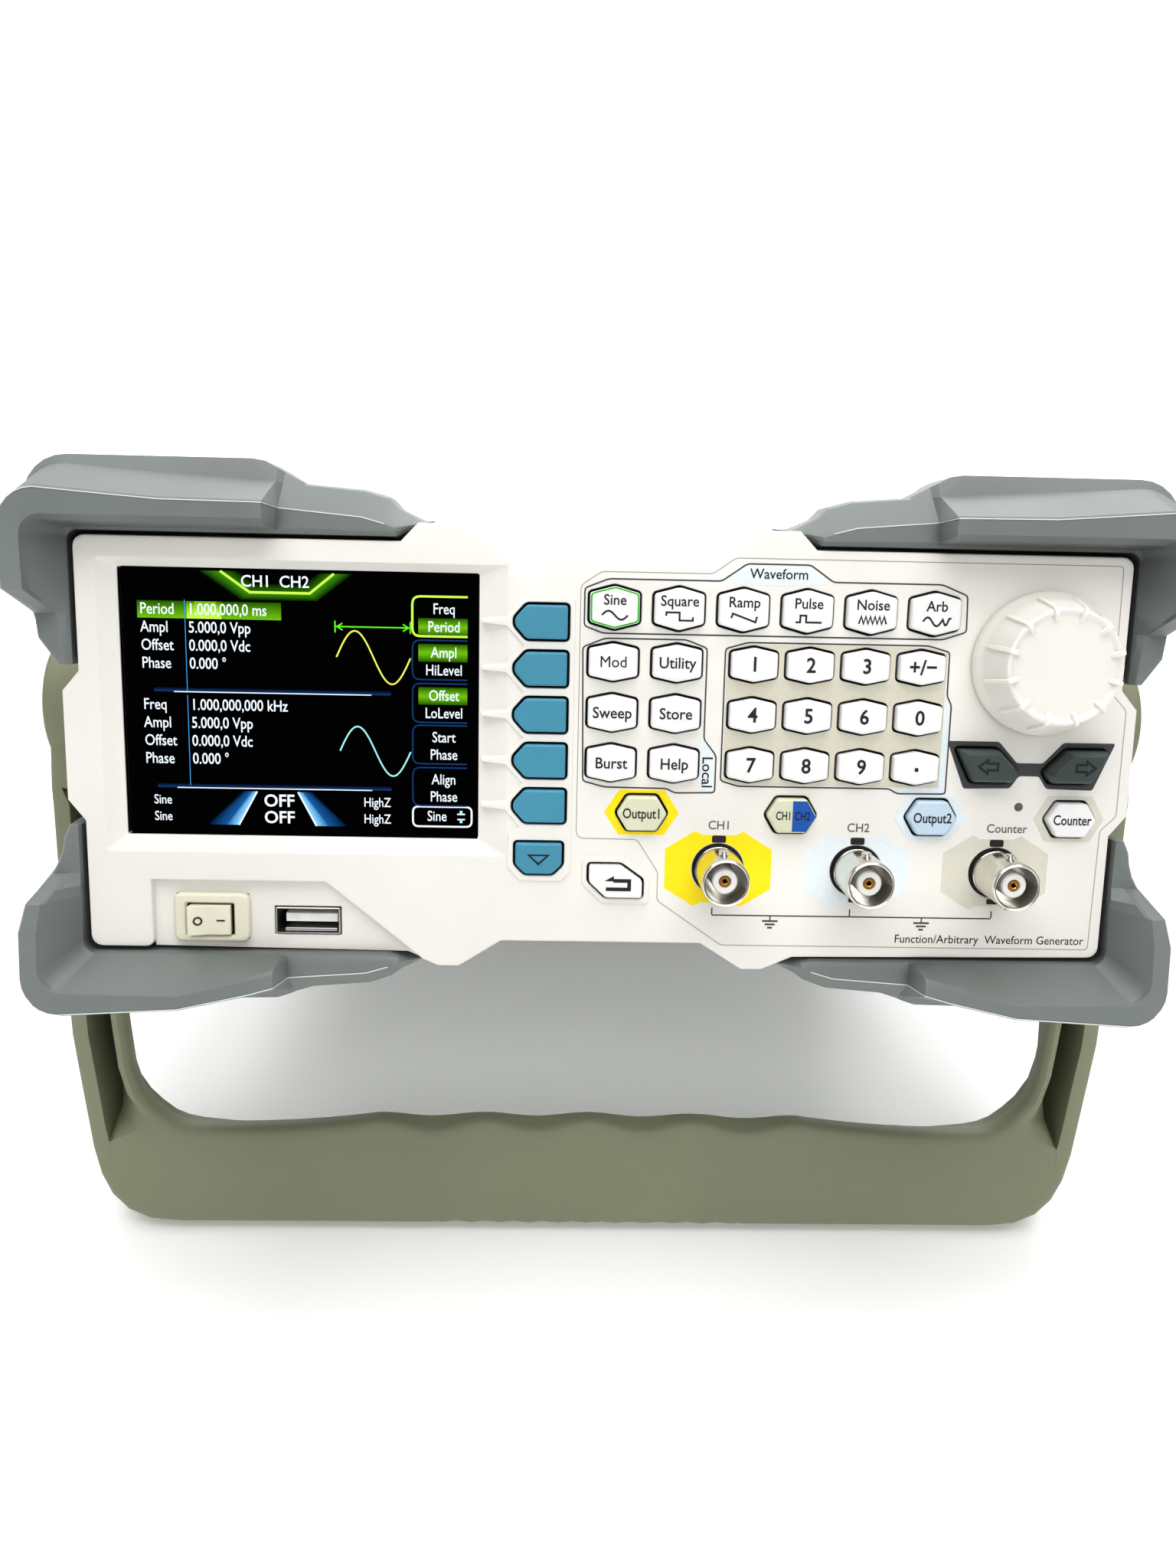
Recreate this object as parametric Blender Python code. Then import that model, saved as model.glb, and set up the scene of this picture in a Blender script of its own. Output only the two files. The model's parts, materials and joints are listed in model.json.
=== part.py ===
"""Bench function generator with a swing handle, standing tilted on its handle.

Everything is drawn level, in millimetres, in the case's own axes: X to the right, Y into the case,
Z up, origin at the centre of the front panel's face. The stand_pose empty then tilts the whole
instrument back, as it stands on the handle's grip and the rear bumper.
"""

import math

import bmesh
import bpy
from mathutils import Vector
from mathutils.geometry import delaunay_2d_cdt

MM = 0.001
GAP = 0.3  # clearance between two separate pieces

# Front panel
PANEL_X = 105.8  # half width
PANEL_TOP, PANEL_BOTTOM = 41.9, -42.0
PANEL_T = 4.0  # thickness of the panel's face
BEZEL_Y, BEZEL_RIM = 12.0, 1.2  # how far the bezel's rim reaches back, and its thickness
RECESS_Y = 2.0  # depth of the screen recess and of the switch recess

# Case
CASE_X = 107.0
CASE_TOP, CASE_BOTTOM = 45.0, -43.5
CASE_SPLIT = -36.0  # where the cover meets the base
CASE_Y0, CASE_Y1 = 12.4, 294.0
SHEET = 2.0
CASE_R = 4.0

# Bumpers
BUMPER_X = 117.2  # half width over the bumpers
BUMPER_TOP, BUMPER_BOTTOM = 56.8, -55.2  # crests of the ridges: 112 mm apart
REAR_Y0, REAR_END = 268.0, 305.7
FOOT_Y = 296.0  # where the rear bumper starts to rest on the bench

# Handle
PIVOT_Y, PIVOT_Z = 56.0, 3.0
HUB_X, HUB_R = 130.75, 17.0  # half width over the hubs
ARM_IN = 118.0  # half width between the arms
SHAFT_R, SHAFT_HOLE_R = 6.7, 7.1
GRIP_BOTTOM, GRIP_TOP = -130.0, -101.5
GRIP_BACK, GRIP_FOOT_Y = 64.0, 57.0

# The bench touches the grip's foot and the rear bumper's foot.
TILT = math.atan2(BUMPER_BOTTOM - GRIP_BOTTOM, FOOT_Y - GRIP_FOOT_Y)

# Keys
KEY_PROUD = 1.8
SOFT_PROUD = 1.2
ARROW_PROUD = 4.0
WAVE_KEYS = ("sine", "square", "ramp", "pulse", "noise", "arb")
WAVE_X0, WAVE_PITCH, WAVE_Z = 1.2, 12.9, 29.75
FUNCTION_KEYS = (("mod", "utility"), ("sweep", "store"), ("burst", "help"))
FUNCTION_X0, FUNCTION_PITCH = 1.15, 12.85
NUMBER_KEYS = (("1", "2", "3", "sign"), ("4", "5", "6", "0"), ("7", "8", "9", "point"))
NUMBER_X0, NUMBER_PITCH = 29.6, 11.36
ROW_Z0, ROW_PITCH = 18.9, 10.25
SOFT_KEYS = 5
SOFT_Z0, SOFT_PITCH = 26.6, 9.35
ROW_KEYS = (("output_1", 7.75), ("channel", 38.6), ("output_2", 67.7), ("counter", 96.8))
ROW_KEY_Z = -11.9
ARROW_MIRROR = 87.7  # the two arrow keys mirror each other about this X

# Knob, sockets, switch
KNOB_X, KNOB_Z, KNOB_R = 88.4, 20.3, 14.5
BNC_Z, BNC_R, BNC_END = -23.6, 4.85, -12.7
BNC_BARREL_R, BNC_FLANGE_R = 5.5, 7.0
BNC_X = (("ch1", 24.0), ("ch2", 52.9), ("counter", 82.1))
SWITCH = (-88.65, -73.15, -40.85, -30.5)  # x0, x1, z0, z1 of the switch's flange
SWITCH_FLANGE = 0.6  # how far the flange reaches over the switch's body
ROCKER_X, ROCKER_Y, ROCKER_HALF = -81.2, 1.2, 4.8
ROCKER_Z0, ROCKER_Z1 = -39.5, -32.6
ROCKER_THROW = math.radians(16)
USB = (-68.0, -54.6, -39.25, -33.6)
SCREEN = (-97.8, -26.0, -18.4, 35.8)

# Boards inside
BOARD_T = 1.6
MAIN_BOARD_Z = -37.0
CAN_HEIGHT = 7.4

# Rear panel
REAR_PANEL_Y = 290.0
INLET = (-96.0, -68.0, -30.0, -8.0)
INLET_DEPTH, INLET_FLANGE, INLET_FLANGE_T, PIN_BLOCK_INSET = 20.0, 2.5, 1.8, 6.0
LAN_PORT = (-52.0, -36.0, -28.0, -14.0)
USB_B_PORT = (-26.0, -14.0, -27.0, -16.0)
REAR_BNC_X, REAR_BNC_Z = (-84.0, -58.0, -32.0, -6.0), 20.0
REAR_VENT_X, REAR_VENT_HALF, REAR_VENTS, REAR_VENT_PITCH = 56.0, 34.0, 9, 6.4

COLOURS = {
    "panel_white": ((0.84, 0.82, 0.77), 0.45, 0.0),
    "key_white": ((0.88, 0.87, 0.83), 0.4, 0.0),
    "key_blue": ((0.08, 0.25, 0.38), 0.4, 0.0),
    "key_yellow": ((0.80, 0.80, 0.42), 0.4, 0.0),
    "key_slate": ((0.07, 0.10, 0.11), 0.45, 0.0),
    "bumper_grey": ((0.26, 0.29, 0.30), 0.6, 0.0),
    "handle_olive": ((0.24, 0.25, 0.20), 0.55, 0.0),
    "case_grey": ((0.55, 0.56, 0.55), 0.5, 0.0),
    "steel": ((0.62, 0.62, 0.60), 0.35, 1.0),
    "nickel": ((0.72, 0.70, 0.66), 0.25, 1.0),
    "switch_ivory": ((0.86, 0.84, 0.74), 0.4, 0.0),
    "screen_glass": ((0.01, 0.01, 0.012), 0.1, 0.0),
    "board_green": ((0.03, 0.18, 0.08), 0.5, 0.0),
    "dark_plastic": ((0.03, 0.03, 0.03), 0.5, 0.0),
}


# ---------------------------------------------------------------- outlines, as (x, z) points


def rectangle(x0, x1, z0, z1):
    return [(x0, z0), (x1, z0), (x1, z1), (x0, z1)]


def octagon(x0, x1, z0, z1, cut):
    """A rectangle with its corners cut."""
    lower = [(x0, z0 + cut), (x0 + cut, z0), (x1 - cut, z0), (x1, z0 + cut)]
    return lower + [(x1, z1 - cut), (x1 - cut, z1), (x0 + cut, z1), (x0, z1 - cut)]


def centred(x, z, width, height):
    return rectangle(x - width / 2, x + width / 2, z - height / 2, z + height / 2)


def circle(x, z, radius, count):
    turn = 2 * math.pi / count
    return [(x + radius * math.cos(i * turn), z + radius * math.sin(i * turn)) for i in range(count)]


def arc(x, z, radius, start, end, count):
    """Points on an arc, from one angle to another in degrees."""
    angles = [math.radians(start + (end - start) * i / (count - 1)) for i in range(count)]
    return [(x + radius * math.cos(a), z + radius * math.sin(a)) for a in angles]


def grow(outline, distance):
    """The outline with each edge moved outwards by a distance."""
    count = len(outline)
    area = sum(outline[i - 1][0] * outline[i][1] - outline[i][0] * outline[i - 1][1] for i in range(count))
    side = 1 if area > 0 else -1
    grown = []
    for i, (x, z) in enumerate(outline):
        before, after = outline[i - 1], outline[(i + 1) % count]
        first = Vector((z - before[1], before[0] - x)).normalized() * side
        second = Vector((after[1] - z, x - after[0])).normalized() * side
        shift = (first + second) * distance / (1 + first.dot(second))
        grown.append((x + shift.x, z + shift.y))
    return grown


def flip(outline, x_sign, z_sign):
    return [(x * x_sign, z * z_sign) for x, z in outline]


def tent_key(x, z, half, shoulder, tip):
    """A key with upright sides and a shallow point at its top and bottom."""
    right = [(half, -shoulder), (half, shoulder)]
    left = [(-half, shoulder), (-half, -shoulder)]
    return [(x + dx, z + dz) for dx, dz in [(0, -tip), *right, (0, tip), *left]]


def hexagon_key(x, z):
    """A key with a point at its left and right ends."""
    half, shoulder, height = 5.15, 3.0, 3.55
    lower = [(-shoulder, -height), (shoulder, -height), (half, 0)]
    upper = [(shoulder, height), (-shoulder, height), (-half, 0)]
    return [(x + dx, z + dz) for dx, dz in lower + upper]


def soft_key(z):
    """A key beside the screen, with its left corners cut."""
    x0, x1, x2, tip, half = -18.65, -16.3, -8.1, 0.75, 3.4
    return [(x0, z + tip), (x0, z - tip), (x1, z - half), (x2, z - half), (x2, z + half), (x1, z + half)]


def down_key():
    x0, x1, z0, z1, cut = -18.1, -8.5, -25.0, -18.5, 2.0
    return [(x0, z1), (x0, z0 + cut), (x0 + cut, z0), (x1 - cut, z0), (x1, z0 + cut), (x1, z1)]


def back_key():
    x0, x1, z0, z1, cut = -3.0, 8.25, -29.75, -22.85, 2.2
    return [(x0, z1), (x0, z0 + cut), (x0 + cut, z0), (x1, z0), (x1, z1 - cut), (x1 - cut, z1)]


def arrow_key(side):
    points = [(72.1, 2.6), (75.5, -4.2), (83.5, -4.2), (85.0, -2.0), (80.5, 2.6)]
    if side == "right":
        points = [(2 * ARROW_MIRROR - x, z) for x, z in points]
    return points


def key_outlines():
    """Every key: name, outline, how far it stands proud and its material."""
    keys = []
    for i, word in enumerate(WAVE_KEYS):
        shape = tent_key(WAVE_X0 + i * WAVE_PITCH, WAVE_Z, 4.95, 2.9, 4.25)
        keys.append((f"key_{word}", shape, KEY_PROUD, "key_white"))
    for row, words in enumerate(FUNCTION_KEYS):
        z = ROW_Z0 - row * ROW_PITCH
        for i, word in enumerate(words):
            shape = tent_key(FUNCTION_X0 + i * FUNCTION_PITCH, z, 4.9, 2.7, 3.75)
            keys.append((f"key_{word}", shape, KEY_PROUD, "key_white"))
    for row, words in enumerate(NUMBER_KEYS):
        z = ROW_Z0 - row * ROW_PITCH
        for i, word in enumerate(words):
            shape = tent_key(NUMBER_X0 + i * NUMBER_PITCH, z, 4.65, 2.45, 3.45)
            keys.append((f"key_{word}", shape, KEY_PROUD, "key_white"))
    for i in range(SOFT_KEYS):
        keys.append((f"soft_key_{i + 1}", soft_key(SOFT_Z0 - i * SOFT_PITCH), SOFT_PROUD, "key_blue"))
    keys.append(("key_down", down_key(), SOFT_PROUD, "key_blue"))
    keys.append(("key_back", back_key(), KEY_PROUD, "key_white"))
    for word, x in ROW_KEYS:
        colour = "key_white" if word == "counter" else "key_yellow"
        keys.append((f"key_{word}", hexagon_key(x, ROW_KEY_Z), KEY_PROUD, colour))
    for side in ("left", "right"):
        keys.append((f"arrow_key_{side}", arrow_key(side), ARROW_PROUD, "key_slate"))
    return keys


def panel_outline():
    """The bezel's outline: a bulge at each side, a hump each side of the top, a notch below."""
    right_side = [(PANEL_X, PANEL_BOTTOM), (PANEL_X, -15.5), (109.2, -11.2), (109.2, 11.0), (PANEL_X, 15.0)]
    top_right = [(PANEL_X, PANEL_TOP), (41.5, PANEL_TOP), (38.0, 45.5), (30.5, 45.5), (27.5, 44.6)]
    bottom_right = [(20.9, -39.8), (27.5, -44.0), (29.8, -45.4), (34.0, -45.4), (40.5, -42.6)]
    right = bottom_right + right_side + top_right
    return right + [(-x, z) for x, z in reversed(right)]


# ---------------------------------------------------------------- solids


def finish(name, bm, material, origin=(0, 0, 0)):
    """The object made from a bmesh in millimetres, with its origin at a point of the case's axes."""
    bmesh.ops.recalc_face_normals(bm, faces=bm.faces)
    for vertex in bm.verts:
        vertex.co = (vertex.co - Vector(origin)) * MM
    mesh = bpy.data.meshes.new(name)
    bm.to_mesh(mesh)
    bm.free()
    mesh.materials.append(MATERIALS[material])
    mesh.shade_smooth()
    mesh.set_sharp_from_angle(angle=math.radians(35))
    obj = bpy.data.objects.new(name, mesh)
    obj.location = Vector(origin) * MM
    obj.parent = STAND
    bpy.context.scene.collection.objects.link(obj)
    return obj


def bridge(bm, first, second):
    for i in range(len(first)):
        bm.faces.new((first[i - 1], first[i], second[i], second[i - 1]))


def crossings(x, z, outline):
    """How many edges of an outline a ray from a point towards +X crosses."""
    count = 0
    for (x0, z0), (x1, z1) in zip(outline, outline[1:] + outline[:1]):
        if (z0 > z) != (z1 > z) and x < x0 + (z - z0) * (x1 - x0) / (z1 - z0):
            count += 1
    return count


def cap(bm, loops):
    """A flat face over an outline at constant Y, with the other loops as holes in it."""
    corners = [vertex for loop in loops for vertex in loop]
    outlines = [[(vertex.co.x, vertex.co.z) for vertex in loop] for loop in loops]
    edges = []
    for loop in loops:
        first = len(edges)
        edges += [(first + i, first + (i + 1) % len(loop)) for i in range(len(loop))]
    flat = [Vector(point) for outline in outlines for point in outline]
    points, _, triangles, sources, _, _ = delaunay_2d_cdt(flat, edges, [], 0, 1e-6)
    for triangle in triangles:
        x, z = sum((points[i] for i in triangle), Vector((0, 0))) / 3
        if sum(crossings(x, z, outline) for outline in outlines) % 2:
            bm.faces.new([corners[sources[i][0]] for i in triangle])


def new_loop(bm, points):
    return [bm.verts.new(point) for point in points]


def at_y(outline, y):
    return [(x, y, z) for x, z in outline]


def loft(name, rings, material, origin=(0, 0, 0), looped=False):
    """A solid through rings of 3D points: the end rings are closed, or the last joins the first."""
    bm = bmesh.new()
    loops = [new_loop(bm, ring) for ring in rings]
    for first, second in zip(loops, loops[1:]):
        bridge(bm, first, second)
    if looped:
        bridge(bm, loops[-1], loops[0])
    else:
        bm.faces.new(loops[0])
        bm.faces.new(loops[-1])
    return finish(name, bm, material, origin)


def plate(name, rings, holes, material):
    """A plate square to Y: (y, outline) rings run from its front face round the edge to its back."""
    bm = bmesh.new()
    loops = [new_loop(bm, at_y(outline, y)) for y, outline in rings]
    for first, second in zip(loops, loops[1:]):
        bridge(bm, first, second)
    front_holes = [new_loop(bm, at_y(hole, rings[0][0])) for hole in holes]
    back_holes = [new_loop(bm, at_y(hole, rings[-1][0])) for hole in holes]
    for front, back in zip(front_holes, back_holes):
        bridge(bm, front, back)
    cap(bm, [loops[0], *front_holes])
    cap(bm, [loops[-1], *back_holes])
    return finish(name, bm, material)


def box(name, low, high, material):
    base = rectangle(low[0], high[0], low[2], high[2])
    return loft(name, [at_y(base, low[1]), at_y(base, high[1])], material)


def turned(name, x, z, profile, count, material, origin=(0, 0, 0)):
    """A solid turned about a line along Y, from (radius, y) points between its two flat ends."""
    rings = [at_y(circle(x, z, radius, count), y) for radius, y in profile]
    return loft(name, rings, material, origin)


def helper(obj):
    obj.hide_render = True
    obj.display_type = "WIRE"
    return obj


def boolean(obj, other, operation):
    modifier = obj.modifiers.new(operation.lower(), "BOOLEAN")
    modifier.operation = operation
    modifier.object = helper(other)


# ---------------------------------------------------------------- front panel


def front_bezel():
    outline = panel_outline()
    inside = grow(outline, -BEZEL_RIM)
    rings = [(0, grow(outline, -0.8)), (0.8, outline), (BEZEL_Y, outline), (BEZEL_Y, inside), (PANEL_T, inside)]
    holes = [grow(shape, GAP) for _, shape, _, _ in key_outlines()]
    holes.append(circle(KNOB_X, KNOB_Z, 3.5, 12))
    holes += [circle(x, BNC_Z, BNC_R + GAP, 16) for _, x in BNC_X]
    holes.append(grow(rectangle(*SCREEN), GAP))
    holes.append(grow(rectangle(*USB), GAP))
    holes.append(grow(rectangle(*SWITCH), GAP - SWITCH_FLANGE))
    bezel = plate("front_bezel", rings, holes, "panel_white")
    boolean(bezel, screen_recess(), "DIFFERENCE")
    boolean(bezel, switch_recess(), "DIFFERENCE")


def screen_recess():
    x0, x1, z0, z1 = SCREEN
    wide = rectangle(x0 - 4.2, x1 + 2.8, z0 - 3.8, z1 + 2.2)
    narrow = rectangle(x0 - 0.1, x1 + 0.1, z0 - 0.1, z1 + 0.1)
    return loft("screen_recess_cutter", [at_y(wide, -0.5), at_y(narrow, RECESS_Y)], "panel_white")


def switch_recess():
    shape = [(-92.75, -47.0), (-33.2, -47.0), (-57.25, -27.75), (-92.75, -27.75)]
    return loft("switch_recess_cutter", [at_y(shape, -1.0), at_y(shape, RECESS_Y)], "panel_white")


def screen():
    window = rectangle(*SCREEN)
    loft("screen_lens", [at_y(window, RECESS_Y + 0.2), at_y(window, PANEL_T - 0.4)], "screen_glass")
    box("lcd_module", (-100.0, PANEL_T + 0.4, -21.0), (-22.5, 10.5, 37.5), "steel")


def key(name, outline, proud, material):
    """A key cap with a chamfered top and a flange that holds it behind the panel."""
    flange = grow(outline, 0.7)
    seat = PANEL_T + GAP
    sections = [(-proud, grow(outline, -0.5)), (0.5 - proud, outline), (seat, outline)]
    sections += [(seat, flange), (seat + 1.0, flange)]
    middle_x = sum(x for x, _ in outline) / len(outline)
    middle_z = sum(z for _, z in outline) / len(outline)
    loft(name, [at_y(shape, y) for y, shape in sections], material, (middle_x, 0, middle_z))


def tuning_knob():
    profile = [(9.0, -10.8), (9.4, -11.8), (11.2, -11.8), (11.6, -11.2), (13.6, -3.0), (KNOB_R, -2.0)]
    profile += [(KNOB_R, -0.5), (3.0, -0.5), (3.0, 7.4)]
    turned("tuning_knob", KNOB_X, KNOB_Z, profile, 24, "key_white", (KNOB_X, 0, KNOB_Z))


def bnc_socket(name, x):
    """Shell, insulator and contact of a coaxial socket, with its flange behind the panel."""
    profile = [(0.8, 16.0), (0.8, 12.0), (BNC_BARREL_R, 12.0), (BNC_BARREL_R, 6.6)]
    profile += [(BNC_FLANGE_R, 6.6), (BNC_FLANGE_R, PANEL_T + 0.5)]
    profile += [(BNC_R, PANEL_T + 0.5), (BNC_R, BNC_END), (4.1, BNC_END), (4.1, -2.0)]
    profile += [(2.4, -2.0), (2.4, -10.0), (1.1, -10.0), (1.1, -11.0)]
    turned(f"bnc_{name}", x, BNC_Z, profile, 16, "nickel")


def usb_port():
    outer = rectangle(*USB)
    inner = grow(outer, -0.45)
    tongue = rectangle(-66.2, -56.4, -36.4, -34.7)
    sections = [(18.0, outer), (RECESS_Y + 0.1, outer), (RECESS_Y + 0.1, inner), (14.0, inner)]
    sections += [(14.0, tongue), (4.5, tongue)]
    loft("usb_port", [at_y(shape, y) for y, shape in sections], "steel")


def power_switch():
    flange = rectangle(*SWITCH)
    body = grow(flange, -SWITCH_FLANGE)
    pocket = rectangle(ROCKER_X - 5.8, ROCKER_X + 5.8, ROCKER_Z0 - GAP, ROCKER_Z1 + GAP)
    back, face = RECESS_Y - GAP, 0.3
    sections = [(22.0, body), (back, body), (back, flange), (face + 0.5, flange), (face, grow(flange, -0.5))]
    sections += [(face, pocket), (13.0, pocket)]
    loft("power_switch_housing", [at_y(shape, y) for y, shape in sections], "switch_ivory")
    power_rocker()


def power_rocker():
    """The rocker, at rest with its right half pressed flush and its left half standing out."""
    half, face = ROCKER_HALF, -0.4
    tip = face - half * math.tan(ROCKER_THROW)
    shape = [(-half, tip), (0, face), (half, face), (half - 0.2, 2.4), (2.6, 7.0), (-2.6, 7.0), (0.2 - half, 2.4)]
    rings = [[(ROCKER_X + x, y, z) for x, y in shape] for z in (ROCKER_Z0, ROCKER_Z1)]
    middle = (ROCKER_Z0 + ROCKER_Z1) / 2
    loft("power_rocker", rings, "switch_ivory", (ROCKER_X, ROCKER_Y, middle))


# ---------------------------------------------------------------- bumpers


def corner_path(top, side, radius, lip_x, lip_z, saddle, tail):
    """The outer edge of one bumper corner, from the end of its top tail to the end of its side tail."""
    tail_x, tail_top, tail_side, tail_z = tail
    path = [(tail_x, tail_top), (tail_x + 8, saddle), (lip_x - 8, saddle), (lip_x, top)]
    path += arc(side - radius, top - radius, radius, 90, 0, 4)
    return path + [(side, lip_z + 6), (tail_side + 1.5, lip_z), (tail_side, tail_z)]


def corner_ring(y, outer, tail, inside_x, inside_z):
    """A closed ring: the outer edge, and back along the inside corner."""
    tail_x, _, _, tail_z = tail
    return y, outer + [(inside_x, tail_z), (inside_x, inside_z), (tail_x, inside_z)]


def front_bumper(name, x_sign, z_sign):
    """One of the four soft corners: a flared lip in front, a ridge behind it and two tapering tails."""
    upper = z_sign > 0
    lip, root, saddle = (48.6, 50.2, 52.2) if upper else (53.2, 54.4, 49.5)
    crest = BUMPER_TOP if upper else -BUMPER_BOTTOM
    seat = -CASE_BOTTOM + 0.4 if not upper else CASE_TOP + 0.4
    short = (60.0, lip - 2.2, 113.6, 24.0)
    root_tail = (60.0, root - 2.2, 112.0, 24.0)
    long = (42.3, 46.4, 109.0, 16.2)
    rear = (46.0, 47.4, 109.6, 18.0)
    rings = [
        corner_ring(-8.5, corner_path(lip, BUMPER_X - 1.0, 8, 70, 27, lip - 1.5, short), short, 112.4, 45.2),
        corner_ring(0.5, corner_path(root, BUMPER_X, 9, 70, 27, root - 1.5, root_tail), root_tail, 106.8, 42.7),
        corner_ring(0.5, corner_path(root, BUMPER_X, 9, 72, 27, saddle - 2, long), long, 106.7, 42.6),
        corner_ring(11.8, corner_path(saddle + 0.6, BUMPER_X, 9, 72, 27, saddle, long), long, 106.7, 42.6),
        corner_ring(11.8, corner_path(saddle + 0.7, BUMPER_X, 9, 72, 27, saddle, rear), rear, 107.4, seat),
        corner_ring(14.0, corner_path(crest, BUMPER_X, 9, 72, 27, saddle, rear), rear, 107.4, seat),
        corner_ring(18.5, corner_path(crest, BUMPER_X, 9, 72, 27, saddle, rear), rear, 107.4, seat),
        corner_ring(20.0, corner_path(51.0, BUMPER_X - 1, 9, 72, 27, 49.6, rear), rear, 107.4, seat),
        corner_ring(33.0, corner_path(49.0, BUMPER_X - 4, 9, 72, 27, 48.0, rear), rear, 107.4, seat),
    ]
    loft(name, [at_y(flip(shape, x_sign, z_sign), y) for y, shape in rings], "bumper_grey")


def frame_loop(side, top, bottom, side_waist, top_waist, bottom_waist, radius):
    """A closed outline with four full corners and a narrower waist in the middle of each side."""

    def quarter(height, waist):
        path = [(44.0, waist), (62.0, height), *arc(side - radius, height - radius, radius, 90, 0, 4)]
        return path + [(side, 24.0), (side_waist, 15.0)]

    upper, lower = quarter(top, top_waist), quarter(-bottom, -bottom_waist)
    right = flip(lower, 1, -1) + upper[::-1]
    return right + [(-x, z) for x, z in reversed(right)]


def rear_bumper():
    """The soft frame round the rear of the case, with feet at its corners and a rim that overhangs."""
    side, top, bottom = CASE_X + 0.4, CASE_TOP + 0.4, CASE_BOTTOM - 0.4
    case = frame_loop(side, top, bottom, side, top, bottom, 3)
    slope = math.tan(TILT)

    def outside(step, bottom):
        return frame_loop(BUMPER_X - step, 54.0 - step, bottom, 111.0, 48.0, -47.0, 9)

    foot_end = REAR_END - 1.2
    foot_rise = BUMPER_BOTTOM + (foot_end - FOOT_Y) * slope
    sections = [
        (REAR_Y0, frame_loop(side + 1.6, top + 1.6, bottom - 1.6, side + 1.6, top + 1.6, bottom - 1.6, 4)),
        (REAR_Y0 + 10, outside(3.0, -52.0)),
        (REAR_Y0 + 14, outside(0.0, BUMPER_BOTTOM)),
        (FOOT_Y, outside(0.0, BUMPER_BOTTOM)),
        (foot_end, outside(0.8, foot_rise)),
        (REAR_END, outside(2.0, foot_rise + 1.4)),
        (REAR_END, frame_loop(BUMPER_X - 5, 49.5, foot_rise + 4.6, 108.6, 46.2, -45.0, 6)),
        (CASE_Y1 + 1.0, case),
        (REAR_Y0, case),
    ]
    loft("rear_bumper", [at_y(shape, y) for y, shape in sections], "bumper_grey", looped=True)


# ---------------------------------------------------------------- case


def case_cover():
    """The top and both sides of the case in one bent sheet, with vent slots and the handle's holes."""
    outer_x, top, inner_x, ceiling = CASE_X, CASE_TOP, CASE_X - SHEET, CASE_TOP - SHEET
    right_out = [(outer_x, CASE_SPLIT), *arc(outer_x - CASE_R, top - CASE_R, CASE_R, 0, 90, 4)]
    right_in = [(inner_x - 2, ceiling), (inner_x, ceiling - 2), (inner_x, CASE_SPLIT)]
    left_out = [(-x, z) for x, z in reversed(right_out)]
    left_in = [(-x, z) for x, z in reversed(right_in)]
    shape = right_out + left_out + left_in + right_in
    cover = plate("case_cover", [(CASE_Y0, shape), (CASE_Y1, shape)], [], "case_grey")
    boolean(cover, across("handle_shaft_cutter", PIVOT_Y, PIVOT_Z, SHAFT_HOLE_R, CASE_X + 2), "DIFFERENCE")
    boolean(cover, vent_cutter(), "DIFFERENCE")


def case_base():
    """The tray under the case, its short sides meeting the cover's."""
    floor, low, high = CASE_BOTTOM + SHEET, CASE_BOTTOM, CASE_SPLIT - 0.4
    inner_x = CASE_X - SHEET
    right_out = [*arc(CASE_X - CASE_R, low + CASE_R, CASE_R, -90, 0, 4), (CASE_X, high)]
    right_in = [(inner_x, high), (inner_x, floor + 2), (inner_x - 2, floor)]
    shape = right_out + right_in
    shape += [(-x, z) for x, z in reversed(shape)]
    plate("case_base", [(CASE_Y0, shape), (CASE_Y1, shape)], [], "case_grey")


def across(name, y, z, radius, half):
    """A cylinder along X that runs right across the case."""
    rings = [[(x, a, b) for a, b in circle(y, z, radius, 20)] for x in (-half, half)]
    return loft(name, rings, "steel")


def vent_cutter():
    """Upright slots in both sides of the case, towards the rear, each a box that runs right across."""
    count, pitch, width, first = 10, 7.0, 3.0, 176.0
    bm = bmesh.new()
    for i in range(count):
        y0 = first + i * pitch
        base = rectangle(-CASE_X - 2, CASE_X + 2, -16.0, 20.0)
        front, back = new_loop(bm, at_y(base, y0)), new_loop(bm, at_y(base, y0 + width))
        bridge(bm, front, back)
        bm.faces.new(front)
        bm.faces.new(back)
    return finish("vent_cutter", bm, "steel")


def rear_panel():
    """The steel plate at the back, with cut-outs for its sockets and its vent slots."""
    inset = SHEET + 0.4
    outline = octagon(inset - CASE_X, CASE_X - inset, CASE_BOTTOM + inset, CASE_TOP - inset, 2.4)
    holes = [grow(rectangle(*INLET), GAP)]
    holes += [circle(x, REAR_BNC_Z, 5.2, 16) for x in REAR_BNC_X]
    holes += [rectangle(*LAN_PORT), rectangle(*USB_B_PORT)]
    for i in range(REAR_VENTS):
        z = (i - (REAR_VENTS - 1) / 2) * REAR_VENT_PITCH
        holes.append(centred(REAR_VENT_X, z, 2 * REAR_VENT_HALF, 2.8))
    plate("rear_panel", [(REAR_PANEL_Y, outline), (REAR_PANEL_Y + SHEET, outline)], holes, "steel")
    ac_inlet()


def ac_inlet():
    """The mains inlet: a flange on the rear panel round a pocket with a block for the three pins."""
    body = rectangle(*INLET)
    face = REAR_PANEL_Y + SHEET + GAP
    flange, pocket, block = grow(body, INLET_FLANGE), grow(body, -SHEET), grow(body, -PIN_BLOCK_INSET)
    outside, floor = face + INLET_FLANGE_T, face - INLET_DEPTH + PIN_BLOCK_INSET
    sections = [(face - INLET_DEPTH, body), (face, body), (face, flange), (outside, flange)]
    sections += [(outside, pocket), (floor, pocket), (floor, block), (face - 1, block)]
    loft("ac_inlet", [at_y(shape, y) for y, shape in sections], "dark_plastic")


# ---------------------------------------------------------------- handle


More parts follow.
